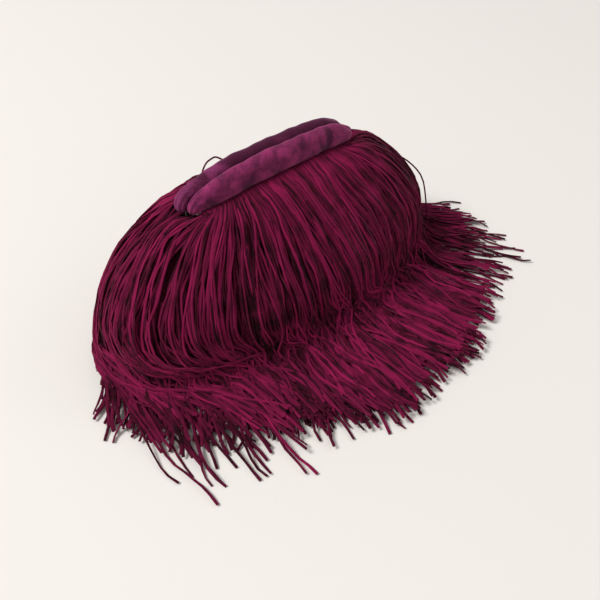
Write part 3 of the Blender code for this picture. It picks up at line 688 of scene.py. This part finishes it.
def strip_mesh(name, strips, thickness, ring_share):
    """Strips with thin edges: a rhomb carried along each strip's middle line.

    The rhomb stands square to the line, its width across the lie of the fringe, and turns
    by the strip's twist.
    """
    centre, lie, twist, width, tone_and_shade = strips
    count, steps = len(centre), centre.shape[1] - 1
    place = ring_share * steps
    index = np.minimum(place.astype(int), steps - 1)
    part = (place - index)[None, :, None]

    def at_rings(values):
        return values[:, index] * (1 - part) + values[:, index + 1] * part

    line = at_rings(centre)
    tangent = unit(np.gradient(line, axis=1))
    across = unit(np.cross(tangent, at_rings(lie)))
    upward = np.cross(across, tangent)
    angle = at_rings(twist[..., None])
    wide = across * np.cos(angle) + upward * np.sin(angle)
    high = upward * np.cos(angle) - across * np.sin(angle)
    half_width = at_rings(width[..., None]) / 2
    corners = [(-1, 0), (0, -1), (1, 0), (0, 1)]
    rings = np.stack([line + wide * half_width * a + high * (thickness / 2) * b for a, b in corners], axis=2)
    rings[..., 2] = np.maximum(rings[..., 2], 0.0)
    ring_count = rings.shape[1]
    per_strip = ring_count * 4
    start = np.array([[0, 1, 2, 3]])
    end = (ring_count - 1) * 4 + np.array([[3, 2, 1, 0]])
    one = np.concatenate([grid_faces(ring_count, 4, True)[:, ::-1], start, end])
    faces = (one[None] + (np.arange(count) * per_strip)[:, None, None]).reshape(-1, 4)
    piece = new_piece(name, rings, faces, smooth_angle=85)
    set_point_values(piece, "strip_tone", np.repeat(tone_and_shade, per_strip))
    return piece


def ring_shares(count):
    """Shares of a strip's way for its rings: closer at the root, in the kink and evenly after."""
    share = np.linspace(0, 1, 400)
    density = 1 + 1.6 * bell((share - 0.04) / 0.06) + 0.5 * bell((share - 0.6) / 0.12)
    travelled = np.cumsum(density)
    travelled = (travelled - travelled[0]) / (travelled[-1] - travelled[0])
    return np.interp(np.linspace(0, 1, count), travelled, share)


class FringeShape(bpy.types.PropertyGroup):
    """Sizes of the fringe."""

    strip_width: FloatProperty(name="Strip width", description="Width that a strip is cut to",
                               default=0.0023, unit="LENGTH")
    strip_thickness: FloatProperty(name="Strip thickness", description="Thickness of the suede",
                                   default=0.0011, unit="LENGTH")
    top_strips: IntProperty(name="Top strips", description="Strips in the row under each roll", default=560)
    middle_strips: IntProperty(name="Middle strips", description="Strips in each middle row", default=190)
    lower_strips: IntProperty(name="Lower strips", description="Strips in each lower row", default=180)
    rings: IntProperty(name="Rings", description="Cross sections of one strip", default=34)
    crest_reach: FloatProperty(name="Crest reach", description="How far the strips arch out under a roll",
                               default=0.0085, unit="LENGTH")
    crest_rise: FloatProperty(name="Crest rise", description="How far the strips arch up under a roll",
                              default=0.0005, unit="LENGTH")
    tip_half_length: FloatProperty(name="Tip half length", description="Half length of the ring of tips",
                                   default=0.252, unit="LENGTH")
    tip_half_depth: FloatProperty(name="Tip half depth", description="Half depth of the ring of tips",
                                  default=0.200, unit="LENGTH")
    tip_forward: FloatProperty(name="Tip forward", description="How far the tips lie towards the front",
                               default=0.024, unit="LENGTH")
    rear_left_full: FloatProperty(name="Rear left fullness", default=0.035,
                                  description="Share that the rear left shoulder is wider")
    rear_left_low: FloatProperty(name="Rear left low fullness", default=0.025,
                                 description="Share that the rear left belly is wider")
    rear_left_rise: FloatProperty(name="Rear left rise", description="How much higher that shoulder is",
                                  default=0.003, unit="LENGTH")
    loose_pile: FloatProperty(name="Loose pile", description="Depth of strips above which they press down",
                              default=0.005, unit="LENGTH")
    hang_straight: FloatProperty(name="Hang straight", default=0.30,
                                 description="How far the strips keep from fanning out")
    seed: IntProperty(name="Seed", description="Number that the strips' chance values start from", default=11)


def fringe_rows(shape):
    """The fringe rows from the table up."""
    return (
        Row("lower", strips=shape.lower_strips, layers=2, root=0.475, reach=0.830, lock_pitch=0.0125,
            wander=1.0, least_swept=0.0, most_swept=0.3, painted_light_share=0.35),
        Row("middle", strips=shape.middle_strips, layers=2, root=0.335, reach=0.850, lock_pitch=0.0110,
            wander=1.0, least_swept=0.1, most_swept=0.5, painted_light_share=0.45),
        Row("top", strips=shape.top_strips, layers=5, root=0.0, reach=0.875, lock_pitch=0.0090,
            wander=0.9, least_swept=0.5, most_swept=1.0, painted_light_share=1.0),
    )


def make_fringe(shape, finish):
    """All six rows, laid one on another, each as one piece in its CAD node's place."""
    table = drape_table(shape)
    pile = np.zeros((DRAPE_ROWS + 1, DRAPE_COLUMNS))
    rng = np.random.default_rng(shape.seed)
    for row in fringe_rows(shape):
        laid = [(side, place, strip_paths(rng, table, side, row)) for side, place in SIDES]
        for side, place, paths in laid:
            strips = lay_strips(rng, table, pile, paths, row, shape)
            if row.name == "top":
                strips = add_loose(strips, table, place, shape)
            node = f"{place}_{row.name}_fringe"
            piece = strip_mesh(f"{node}_strips", strips, shape.strip_thickness * 1.5,
                               ring_shares(shape.rings))
            piece.data.materials.append(finish)
            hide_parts(node)
            if row.name == "top":
                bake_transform(piece)
            else:
                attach(piece, "bag")


# Padded rolls

class RollShape(bpy.types.PropertyGroup):
    """Sizes of the padded rolls."""

    swell: FloatProperty(name="Swell", description="How far the padding pushes the suede out",
                         default=0.0006, unit="LENGTH")
    end_reach: FloatProperty(name="End reach", default=0.0040, unit="LENGTH",
                             description="How far the rear roll's left end sags past its arch")
    rear_left_swell: FloatProperty(name="Rear left swell", default=0.16,
                                   description="Share that the rear roll's left end is fatter")
    front_left_narrowing: FloatProperty(name="Front left narrowing", default=0.10,
                                        description="Share that the front roll's left end is thinner")
    front_top_swell: FloatProperty(name="Front top swell", default=0.16,
                                   description="Share that the front roll stands higher")
    # Painted shade: how much darker the rear roll is where it lies behind the front roll
    rear_painted_shade: FloatProperty(name="Rear wear", default=0.8,
                             description="Share that the rear roll is rubbed dark behind the front roll")


def roll_radius(side, shape, folds, along, angle):
    """Share of its oval that a roll's radius has, and how much painted shade the suede gets, on a grid.

    The radius is pushed in by slanting folds and pinches and by small puckers near the ends,
    and swings in and out by slow lumps. Painted shade darkens the fold lines and where the radius
    is pushed in, and on the rear roll all but its left end, where it lies behind the front roll.
    """
    from_end = (np.minimum(along, 1 - along) * ROLL_LENGTH)[:, None]
    radial = 1 + PUCKER_DEPTH * np.cos(PUCKERS * angle + 0.8)[None, :] * bell(from_end / PUCKER_REACH)
    crease = np.zeros_like(radial)
    for fold in folds:
        slanted = along[:, None] - fold.at - fold.lean * np.sin(angle - fold.facing)[None, :]
        line = slanted * ROLL_LENGTH / fold.wide
        faced = (0.5 + 0.5 * np.cos(angle - fold.facing))[None, :] ** fold.grip
        radial -= fold.deep * bell(line) * faced
        # Painted shade along the fold line
        crease += 7.0 * fold.deep * bell(line / 0.8) * faced
        radial += 0.35 * fold.deep * bell((line - 1.6) / 1.2) * faced
    for cycles, turns, size, phase in ((2.3, 1, 0.032, 0.4 + side), (5.1, 2, 0.024, 1.9),
                                       (9.7, -1, 0.014, 0.2), (14.0, 3, 0.008, 1.1)):
        radial += size * np.sin(2 * math.pi * cycles * along[:, None] + turns * angle[None, :] + phase)
    radial = np.where(from_end > 0.02, np.maximum(radial, LEAST_RADIUS), radial)
    # Painted shade where the radius is pushed in
    crease += ease((1 - radial) / 0.12) * 0.3
    if side > 0:
        # Painted shade on the rear roll, all but its left end, where it lies behind the front roll
        crease += shape.rear_painted_shade * ease((along - 0.20) / 0.15)[:, None]
    return radial, np.clip(crease, 0, 1)


def roll_surface(side, shape, folds):
    """Points of a padded roll on a grid, with the painted shade that they get.

    The grid runs along the roll and round it: an oval carried along the arch, whose radius
    goes to nothing at both ends as the root of a circle.
    """
    along = np.linspace(0, 1, ROLL_ROWS)
    angle = np.linspace(0, 2 * math.pi, ROLL_COLUMNS, endpoint=False)
    way = even_ways(along)
    centre, share = roll_arch(way, side)
    outward = arch_outward(way, side)
    width, height = roll_section(share)
    from_end = np.minimum(along, 1 - along) * ROLL_LENGTH
    closing = np.sqrt(np.clip(1 - np.square(np.clip(1 - (from_end + 0.0006) / ROUNDED_END, 0, 1)), 0, 1))
    radial, crease = roll_radius(side, shape, folds, along, angle)
    left = ease(1 - along / LEFT_END)[:, None]
    radial *= 1 + left * (shape.rear_left_swell if side > 0 else -shape.front_left_narrowing)
    closed = closing[:, None] * radial
    reach_across = (width[:, None] + shape.swell) * closed * (side * np.cos(angle))[None, :]
    reach_up = (height[:, None] + shape.swell) * closed * np.sin(angle)[None, :]
    if side < 0:
        reach_up += np.clip(reach_up, 0, None) * shape.front_top_swell * ease(from_end / 0.05)[:, None]
    points = centre[:, None, :] + outward[:, None, :] * reach_up[..., None]
    points[..., 1] += reach_across
    if side > 0:
        points[..., 0] -= left * shape.end_reach
        points[..., 2] -= left * shape.end_reach * 0.1
    limit = ROLL_PARTING / 2
    points[..., 1] = np.maximum(points[..., 1], limit) if side > 0 else np.minimum(points[..., 1], -limit)
    return points, crease


def end_caps(rows, columns):
    """The two faces that close the first and the last ring of a closed grid."""
    return [list(range(columns))[::-1], list(range((rows - 1) * columns, rows * columns))]


def make_roll(side, place, shape, finish):
    """One padded roll, closed at both ends."""
    if side < 0:
        folds = (Fold(0.80, 0.015, 0.006, 0.11, -0.2, 2.0), Fold(0.765, -0.02, 0.004, 0.08, -0.7, 2.0),
                 Fold(0.62, 0.03, 0.010, 0.05, -0.5, 1.0), Fold(0.30, 0.03, 0.012, 0.05, -0.7, 1.0),
                 Fold(0.10, -0.02, 0.006, 0.08, -0.6, 1.5))
    else:
        folds = (Fold(0.12, 0.03, 0.006, 0.12, 0.6, 1.5), Fold(0.72, 0.02, 0.010, 0.07, 0.4, 1.0),
                 Fold(0.45, -0.03, 0.012, 0.05, 0.2, 1.0))
    points, crease = roll_surface(side, shape, folds)
    quads = grid_faces(ROLL_ROWS, ROLL_COLUMNS, True)
    caps = end_caps(ROLL_ROWS, ROLL_COLUMNS)
    if side > 0:
        quads = quads[:, ::-1]
        caps = [cap[::-1] for cap in caps]
    roll = new_piece(f"{place}_roll_suede", points, quads, caps)
    # Painted shade, read by the roll's material to darken its colour
    set_point_values(roll, "crease", crease)
    roll.data.materials.append(finish)
    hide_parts(f"{place}_roll_cover")
    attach(roll, f"{place}_frame")


# Pouch, lining and gathers

def pouch_profile(inward):
    """Rings of the pouch from the middle of its base to its rim: sizes, squareness and height."""
    belly, depth = SHELL_HALF_LENGTH, SHELL_HALF_DEPTH
    return [
        (belly - 0.0275 - inward, depth - 0.0245 - inward, 2.6, inward),
        (belly - 0.0115 - inward, depth - 0.0105 - inward, 2.5, 0.012 + inward * 0.5),
        (belly - inward, depth - inward, 2.4, 0.048),
        (belly - 0.0175 - inward, depth - 0.0155 - inward, 2.6, HINGE_HEIGHT - 0.040),
        (RIM_HALF_LENGTH + SUEDE - inward, RIM_HALF_DEPTH + SUEDE - inward, RIM_SQUARENESS,
         RIM_HEIGHT - 0.003),
        (RIM_HALF_LENGTH - inward, RIM_HALF_DEPTH - inward, RIM_SQUARENESS, RIM_HEIGHT),
    ]


def pouch_wall(inward, rows, columns):
    """Points of one side of the pouch's wall on a grid, from its base's middle to its rim.

    A superellipse loft, drawn in by upright folds that grow towards the gathered mouth and
    by soft sags above the foot, with its rim lifted at both ends under the hinges.
    """
    turn = np.arange(columns) / columns
    along = np.linspace(0, 1, rows)
    folds = np.cos(2 * math.pi * 26 * turn + 1.2 * np.sin(2 * math.pi * 5 * turn))
    sag = np.sin(2 * math.pi * 7 * turn + 0.7)
    wall = np.empty((rows, columns, 3))
    rings = smooth_through(pouch_profile(inward), along)
    for row, share in enumerate(along):
        half_length, half_depth, squareness, height = rings[row]
        drawn = FOLD_DEPTH * folds * ease((share - 0.62) / 0.2) * ease((0.98 - share) / 0.1)
        drawn = drawn + SAG_DEPTH * sag * bell((share - 0.3) / 0.12)
        x, y = plan_ring(half_length, half_depth, squareness, turn)
        lift = RIM_LIFT * ease((share - 0.8) / 0.2) * np.abs(x / half_length) ** 8
        inset = 1 - (WALL_INSET + drawn) / half_depth
        wall[row] = np.stack([x * inset, y * inset, height + lift], axis=-1)
    base = wall[0]
    shares = np.linspace(0.02, 1, 12)[:-1]
    floor = np.stack([np.stack([base[:, 0] * s, base[:, 1] * s, base[:, 2]], axis=-1) for s in shares])
    return np.concatenate([floor, wall])


def make_pouch(name, node, inward, thickness, finish):
    """A wall with an outer and an inner side that meet over the rim, closed in the middle of the base."""
    outer = pouch_wall(inward, 64, 220)
    inner = pouch_wall(inward + thickness, 64, 220)
    points = np.concatenate([outer, inner[::-1]])
    rows, columns, _ = points.shape
    pouch = new_piece(name, points, grid_faces(rows, columns, True), end_caps(rows, columns))
    pouch.data.materials.append(finish)
    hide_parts(node)
    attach(pouch, "bag")


def closed_sheet(name, grid, thickness, finish):
    """A sheet of even thickness round a grid of points, closed along its four borders."""
    down = np.gradient(grid, axis=0)
    across = np.gradient(grid, axis=1)
    normal = unit(np.cross(across, down))
    upper, lower = grid + normal * thickness / 2, grid - normal * thickness / 2
    rows, columns, _ = grid.shape
    loop = np.concatenate([upper, lower[:, ::-1]], axis=1)
    quads = grid_faces(rows, columns * 2, True)
    caps = []
    for row in (0, rows - 1):
        first = row * columns * 2
        for column in range(columns - 1):
            a, b = first + column, first + column + 1
            c, d = first + 2 * columns - 2 - column, first + 2 * columns - 1 - column
            caps.append([a, b, c, d] if row else [d, c, b, a])
    sheet = new_piece(name, loop, quads, caps)
    sheet.data.materials.append(finish)
    return sheet


def make_gathers(side, place, finish):
    """Suede drawn up in narrow pleats from the pouch's rim to the underside of a roll."""
    columns, rows = 361, 14
    reach = np.linspace(-1, 1, columns)
    turn = (0.25 if side > 0 else 0.75) - side * reach * 0.19
    x, y = plan_ring(RIM_HALF_LENGTH - SUEDE / 2, RIM_HALF_DEPTH - SUEDE / 2, RIM_SQUARENESS, turn)
    rim = np.stack([x, y, np.full_like(x, HINGE_HEIGHT - 0.0033)], axis=-1)
    half = (reach + 1) / 2 * 0.66 + 0.17
    centre, share = roll_arch(half, side)
    width, height = roll_section(share)
    top = centre - arch_outward(half, side) * (height + 0.0012)[:, None]
    top[:, 1] += side * width * 0.25
    part = np.linspace(0, 1, rows)[:, None, None]
    grid = rim * (1 - part) + top * part
    fold = np.cos(reach * math.pi * 24 + 1.5 * np.sin(reach * 9))[None, :, None]
    push = np.array([0.0, side * 0.8, 0.35])
    grid = grid + push * fold * PLEAT_DEPTH * np.sin(part * math.pi) ** 0.7
    gathers = closed_sheet(f"{place}_mouth_pleats", grid, SUEDE, finish)
    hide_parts(f"{place}_mouth_gathers")
    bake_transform(gathers)


# Finishes

def linear(hex_colour):
    """An sRGB hex colour as the linear colour that a shader takes."""
    parts = [int(hex_colour[i:i + 2], 16) / 255 for i in (1, 3, 5)]
    return tuple(p / 12.92 if p <= 0.04045 else ((p + 0.055) / 1.055) ** 2.4 for p in parts) + (1.0,)


def add_node(material, kind, inputs=(), **settings):
    """One node with its settings; an input given as a socket is linked, and others are set."""
    tree = material.node_tree
    node = tree.nodes.new(kind)
    for name, value in settings.items():
        setattr(node, name, value)
    for key, value in dict(inputs).items():
        if isinstance(value, bpy.types.NodeSocket):
            tree.links.new(value, node.inputs[key])
        else:
            node.inputs[key].default_value = value
    return node


def new_material(name, values):
    """A material with some of its shader's values set, that shader, and the object's own place."""
    material = bpy.data.materials.new(name)
    material.use_nodes = True
    shader = material.node_tree.nodes["Principled BSDF"]
    for key, value in values.items():
        shader.inputs[key].default_value = value
    return material, shader, add_node(material, "ShaderNodeTexCoord").outputs["Object"]


def colour_and_relief(material, shader, share, tones, height, strength, depth):
    """Colour a surface between two tones by a share from 0 to 1, and raise it by a height."""
    dark, light = tones
    colour = add_node(material, "ShaderNodeMix", {0: share, 6: linear(dark), 7: linear(light)},
                      data_type="RGBA")
    relief = add_node(material, "ShaderNodeBump",
                      {"Height": height, "Strength": strength, "Distance": depth})
    material.node_tree.links.new(colour.outputs[2], shader.inputs["Base Color"])
    material.node_tree.links.new(relief.outputs[0], shader.inputs["Normal"])


def suede_grain(material, coordinate, grain_mm):
    """Fine fibrous noise at the size of the nap's tufts."""
    return add_node(material, "ShaderNodeTexNoise",
                    {"Vector": coordinate, "Scale": 1000 / grain_mm, "Detail": 4.0, "Roughness": 0.65})


def fringe_suede(tones):
    """Split suede, drum dyed and cut to strips: matt, each strip its own random tone, darker by painted shade
    where it lies under others.
    """
    material, shader, place = new_material("drum_dyed_split_suede", {
        "Roughness": 0.92, "Sheen Weight": 0.12, "Sheen Roughness": 0.45, "Sheen Tint": linear("#D0809C"),
        "Specular IOR Level": 0.15})
    # Each strip's random tone, with painted shade on strips that lie under others.
    tone_and_shade = add_node(material, "ShaderNodeAttribute", attribute_name="strip_tone").outputs["Fac"]
    cloud = add_node(material, "ShaderNodeTexNoise", {"Vector": place, "Scale": 60.0, "Detail": 3.0})
    both = add_node(material, "ShaderNodeMath", {0: tone_and_shade, 1: cloud.outputs["Fac"]}, operation="ADD")
    share = add_node(material, "ShaderNodeMapRange",
                     {"Value": both.outputs[0], "From Min": 0.42, "From Max": 1.48})
    grain = suede_grain(material, place, 0.5)
    colour_and_relief(material, shader, share.outputs[0], tones, grain.outputs["Fac"], 0.35, 0.0003)
    return material


def brushed_suede(name, tones, sheen):
    """Suede with a brushed nap, stretched over padding: soft blotches where the nap lies two ways, darkened by
    painted shade where a piece carries it.
    """
    material, shader, place = new_material(name, {
        "Roughness": 0.88, "Sheen Weight": 0.5, "Sheen Roughness": 0.4, "Sheen Tint": linear(sheen),
        "Specular IOR Level": 0.2})
    blotch = add_node(material, "ShaderNodeTexNoise",
                      {"Vector": place, "Scale": 75.0, "Detail": 5.0, "Roughness": 0.62, "Distortion": 0.6})
    blotch, grain = blotch.outputs["Fac"], suede_grain(material, place, 0.45).outputs["Fac"]
    both = add_node(material, "ShaderNodeMath", {0: blotch, 1: grain}, operation="ADD")
    # Painted shade darkens the colour where a piece carries it: the rolls' creases, and the rear roll behind
    # the front roll.
    crease = add_node(material, "ShaderNodeAttribute", attribute_name="crease").outputs["Fac"]
    blotch_with_painted_shade = add_node(material, "ShaderNodeMath", {0: crease, 1: -0.45, 2: both.outputs[0]},
                    operation="MULTIPLY_ADD")
    share = add_node(material, "ShaderNodeMapRange",
                     {"Value": blotch_with_painted_shade.outputs[0], "From Min": 0.75, "From Max": 1.22})
    height = add_node(material, "ShaderNodeMath", {0: blotch, 1: 0.6, 2: grain}, operation="MULTIPLY_ADD")
    colour_and_relief(material, shader, share.outputs[0], tones, height.outputs[0], 0.4, 0.0004)
    return material


def lining_twill():
    """Cotton twill: fine slanting ribs, 0.8 mm apart."""
    material, shader, place = new_material("cotton_twill", {"Roughness": 0.85})
    slant = add_node(material, "ShaderNodeMapping", {"Vector": place, "Rotation": (0.5, 0.6, 0.4)})
    rib = add_node(material, "ShaderNodeTexWave", {"Vector": slant.outputs[0], "Scale": 1000 / 0.8 / 20})
    rib = rib.outputs["Fac"]
    colour_and_relief(material, shader, rib, ("#34101D", "#4C1B2D"), rib, 0.3, 0.0002)
    return material


def plated_metal(name, base, roughness, scratch):
    """Plated steel: a satin face with fine drawn lines along X."""
    material, shader, place = new_material(name, {
        "Roughness": roughness, "Metallic": 1.0, "Base Color": linear(base)})
    drawn = add_node(material, "ShaderNodeMapping", {"Vector": place, "Scale": (60, 2500, 2500)})
    lines = add_node(material, "ShaderNodeTexNoise",
                     {"Vector": drawn.outputs[0], "Scale": 1.0, "Detail": 3.0})
    bump = add_node(material, "ShaderNodeBump",
                    {"Height": lines.outputs["Fac"], "Strength": scratch, "Distance": 0.0001})
    material.node_tree.links.new(bump.outputs[0], shader.inputs["Normal"])
    return material


def wadding():
    """Polyester wadding: white, tufted, matt."""
    material, shader, place = new_material("polyester_wadding", {"Roughness": 0.95})
    tufts = add_node(material, "ShaderNodeTexNoise", {"Vector": place, "Scale": 400.0, "Detail": 5.0})
    tufts = tufts.outputs["Fac"]
    colour_and_relief(material, shader, tufts, ("#D8D3C8", "#F2EFE8"), tufts, 0.6, 0.001)
    return material


def dress(node, material):
    """Give a CAD node another material."""
    mesh = frame["nodes"][node].data
    mesh.materials.clear()
    mesh.materials.append(material)


# Colours

class BagColours(bpy.types.PropertyGroup):
    """Colours of the suede, as sRGB hex values."""

    fringe_dark: StringProperty(name="Fringe dark", description="Darkest strips", default="#1E0009")
    fringe_light: StringProperty(name="Fringe light", description="Lightest strips", default="#8A1547")
    roll_dark: StringProperty(name="Roll dark", description="Front roll, nap away", default="#480F33")
    roll_light: StringProperty(name="Roll light", description="Front roll, nap to light", default="#A4346C")
    rear_dark: StringProperty(name="Rear roll dark", description="Rear roll, nap away", default="#4A1230")
    rear_light: StringProperty(name="Rear light", description="Rear roll, nap to light", default="#92386C")


class StageShape(bpy.types.PropertyGroup):
    """Camera and light."""

    azimuth: FloatProperty(name="Azimuth", description="Camera's way round the bag from the front",
                           default=math.radians(-42), subtype="ANGLE")
    elevation: FloatProperty(name="Elevation", description="Camera's height as an angle",
                             default=math.radians(42), subtype="ANGLE")
    distance: FloatProperty(name="Distance", description="Camera's distance", default=0.85, unit="LENGTH")
    lens: FloatProperty(name="Lens", description="Focal length in millimetres", default=50.0)
    ground: StringProperty(name="Ground", description="Colour of the floor and backdrop", default="#F0EBE5")
    key_power: FloatProperty(name="Key power", description="The key lamp's power", default=284.0, unit="POWER")
    key_size: FloatProperty(name="Key size", description="Side of the key lamp", default=2.1, unit="LENGTH")
    fill_power: FloatProperty(name="Fill power", description="The fill's power", default=2.0, unit="POWER")
    fill_size: FloatProperty(name="Fill size", description="Side of the fill", default=1.2, unit="LENGTH")
    room_light: FloatProperty(name="Room light", description="How much the room lights the bag", default=0.41)
    room_seen: FloatProperty(name="Room seen", description="How bright the room looks", default=0.86)


# Operators

class BAG_OT_fringe(bpy.types.Operator):
    """Lay the strips of all six fringe rows."""

    bl_idname = "bag.fringe"
    bl_label = "Fringe"

    def execute(self, context):
        colours = context.scene.bag_colours
        make_fringe(context.scene.bag_fringe, fringe_suede((colours.fringe_dark, colours.fringe_light)))
        return {"FINISHED"}


class BAG_OT_rolls(bpy.types.Operator):
    """Make the padded suede rolls and dress what is in them."""

    bl_idname = "bag.rolls"
    bl_label = "Rolls"

    def execute(self, context):
        colours = context.scene.bag_colours
        shape = context.scene.bag_rolls
        front = brushed_suede("brushed_lamb_suede", (colours.roll_dark, colours.roll_light), "#F0A0C8")
        rear = brushed_suede("brushed_lamb_suede_plum", (colours.rear_dark, colours.rear_light), "#D898C8")
        make_roll(-1, "front", shape, front)
        make_roll(1, "rear", shape, rear)
        padding = wadding()
        for node in ("front_roll_core", "rear_roll_core"):
            dress(node, padding)
        return {"FINISHED"}


class BAG_OT_pouch(bpy.types.Operator):
    """Make the pouch, its lining and the gathered suede at its mouth."""

    bl_idname = "bag.pouch"
    bl_label = "Pouch"

    def execute(self, context):
        colours = context.scene.bag_colours
        suede = brushed_suede("drum_dyed_suede", (colours.fringe_dark, colours.fringe_light), "#D0809C")
        make_pouch("outer_shell_suede", "outer_shell", 0.0, SUEDE, suede)
        make_pouch("lining_cloth", "lining", SUEDE + LINING_GAP, LINING_CLOTH, lining_twill())
        for side, place in reversed(SIDES):
            make_gathers(side, place, suede)
        return {"FINISHED"}


class BAG_OT_metal(bpy.types.Operator):
    """Dress the frame bars, rivets and magnets."""

    bl_idname = "bag.metal"
    bl_label = "Metal"

    def execute(self, context):
        steel = plated_metal("zinc_plated_steel_satin", "#B9BCBE", 0.34, 0.15)
        nickel = plated_metal("nickel_plated_magnet_face", "#C3BFB6", 0.22, 0.05)
        for node in ("front_frame_bar", "rear_frame_bar", "hinge_pin_left", "hinge_pin_right"):
            dress(node, steel)
        for node in ("front_magnet", "rear_magnet"):
            dress(node, nickel)
        return {"FINISHED"}


class BAG_OT_stage(bpy.types.Operator):
    """Set the floor, the light and the camera."""

    bl_idname = "bag.stage"
    bl_label = "Stage"

    def execute(self, context):
        shape = context.scene.bag_stage
        make_floor(shape)
        make_light(shape)
        make_camera(shape)
        context.scene.view_settings.view_transform = "Standard"
        return {"FINISHED"}


# Stage

def make_floor(shape):
    """A wide pale floor of smooth paper, whose shade under the bag is kept."""
    corners = ((-6.0, -6.0), (6.0, -6.0), (6.0, 6.0), (-6.0, 6.0))
    points = np.array([(x, y, -0.0002) for x, y in corners])
    floor = new_piece("floor", points, np.array([[0, 1, 2, 3]]))
    material = new_material("smooth_paper", {
        "Roughness": 0.9, "Base Color": linear(shape.ground), "Specular IOR Level": 0.1})[0]
    floor.data.materials.append(material)


def make_light(shape):
    """A pale world and two soft lamps, a key from above the left and a weak fill from the right."""
    world = bpy.data.worlds.new("pale_room")
    bpy.context.scene.world = world
    world.use_nodes = True
    background = world.node_tree.nodes["Background"]
    background.inputs["Color"].default_value = (1.0, 1.0, 1.0, 1.0)
    ray = add_node(world, "ShaderNodeLightPath")
    strength = add_node(world, "ShaderNodeMapRange", {
        "Value": ray.outputs["Is Camera Ray"], "To Min": shape.room_light, "To Max": shape.room_seen})
    world.node_tree.links.new(strength.outputs[0], background.inputs["Strength"])
    for name, place, size, power in (("key_lamp", KEY_PLACE, shape.key_size, shape.key_power),
                                     ("fill_lamp", FILL_PLACE, shape.fill_size, shape.fill_power)):
        lamp = bpy.data.lights.new(name, "AREA")
        lamp.size = size
        lamp.energy = power
        lamp_object = bpy.data.objects.new(name, lamp)
        lamp_object.location = place
        lamp_object.rotation_euler = (-Vector(place)).to_track_quat("-Z", "Y").to_euler()
        bpy.context.scene.collection.objects.link(lamp_object)


def make_camera(shape):
    """A camera at the photograph's angle, looking down at the bag from the front left."""
    camera = bpy.data.cameras.new("camera")
    camera.lens = shape.lens
    camera.sensor_width = 36.0
    camera_object = bpy.data.objects.new("camera", camera)
    bpy.context.scene.collection.objects.link(camera_object)
    bpy.context.scene.camera = camera_object
    azimuth, elevation = shape.azimuth, shape.elevation
    back = Vector((math.sin(azimuth) * math.cos(elevation), -math.cos(azimuth) * math.cos(elevation),
                   math.sin(elevation)))
    right = Vector((math.cos(azimuth), math.sin(azimuth), 0.0))
    turned = Matrix((right, back.cross(right), back)).transposed().to_4x4()
    place = Vector(CAMERA_AIM) + back * shape.distance
    camera_object.matrix_world = Matrix.Translation(place) @ turned


class BAG_PT_panel(bpy.types.Panel):
    """The bag's steps and sizes."""

    bl_idname = "BAG_PT_panel"
    bl_label = "Fringed suede bag"
    bl_space_type = "VIEW_3D"
    bl_region_type = "UI"
    bl_category = "Suede Bag"

    def draw(self, context):
        for operator in OPERATORS:
            self.layout.operator(operator.bl_idname)
        for group in (context.scene.bag_fringe, context.scene.bag_rolls, context.scene.bag_colours,
                      context.scene.bag_stage):
            box = self.layout.box()
            for name in group.bl_rna.properties.keys():
                if name not in ("rna_type", "name"):
                    box.prop(group, name)


OPERATORS = (BAG_OT_pouch, BAG_OT_fringe, BAG_OT_rolls, BAG_OT_metal, BAG_OT_stage)
GROUPS = (FringeShape, RollShape, BagColours, StageShape)


def register():
    """Register the classes and attach the sizes to the scene."""
    for item in GROUPS + OPERATORS + (BAG_PT_panel,):
        bpy.utils.register_class(item)
    bpy.types.Scene.bag_fringe = PointerProperty(type=FringeShape)
    bpy.types.Scene.bag_rolls = PointerProperty(type=RollShape)
    bpy.types.Scene.bag_colours = PointerProperty(type=BagColours)
    bpy.types.Scene.bag_stage = PointerProperty(type=StageShape)


def unregister():
    """Detach the sizes and remove the classes."""
    for name in ("bag_fringe", "bag_rolls", "bag_colours", "bag_stage"):
        delattr(bpy.types.Scene, name)
    for item in reversed(GROUPS + OPERATORS + (BAG_PT_panel,)):
        bpy.utils.unregister_class(item)


def main():
    """Run every step in order."""
    register()
    bpy.ops.bag.pouch()
    bpy.ops.bag.fringe()
    bpy.ops.bag.rolls()
    bpy.ops.bag.metal()
    bpy.ops.bag.stage()


if __name__ == "__main__":
    main()
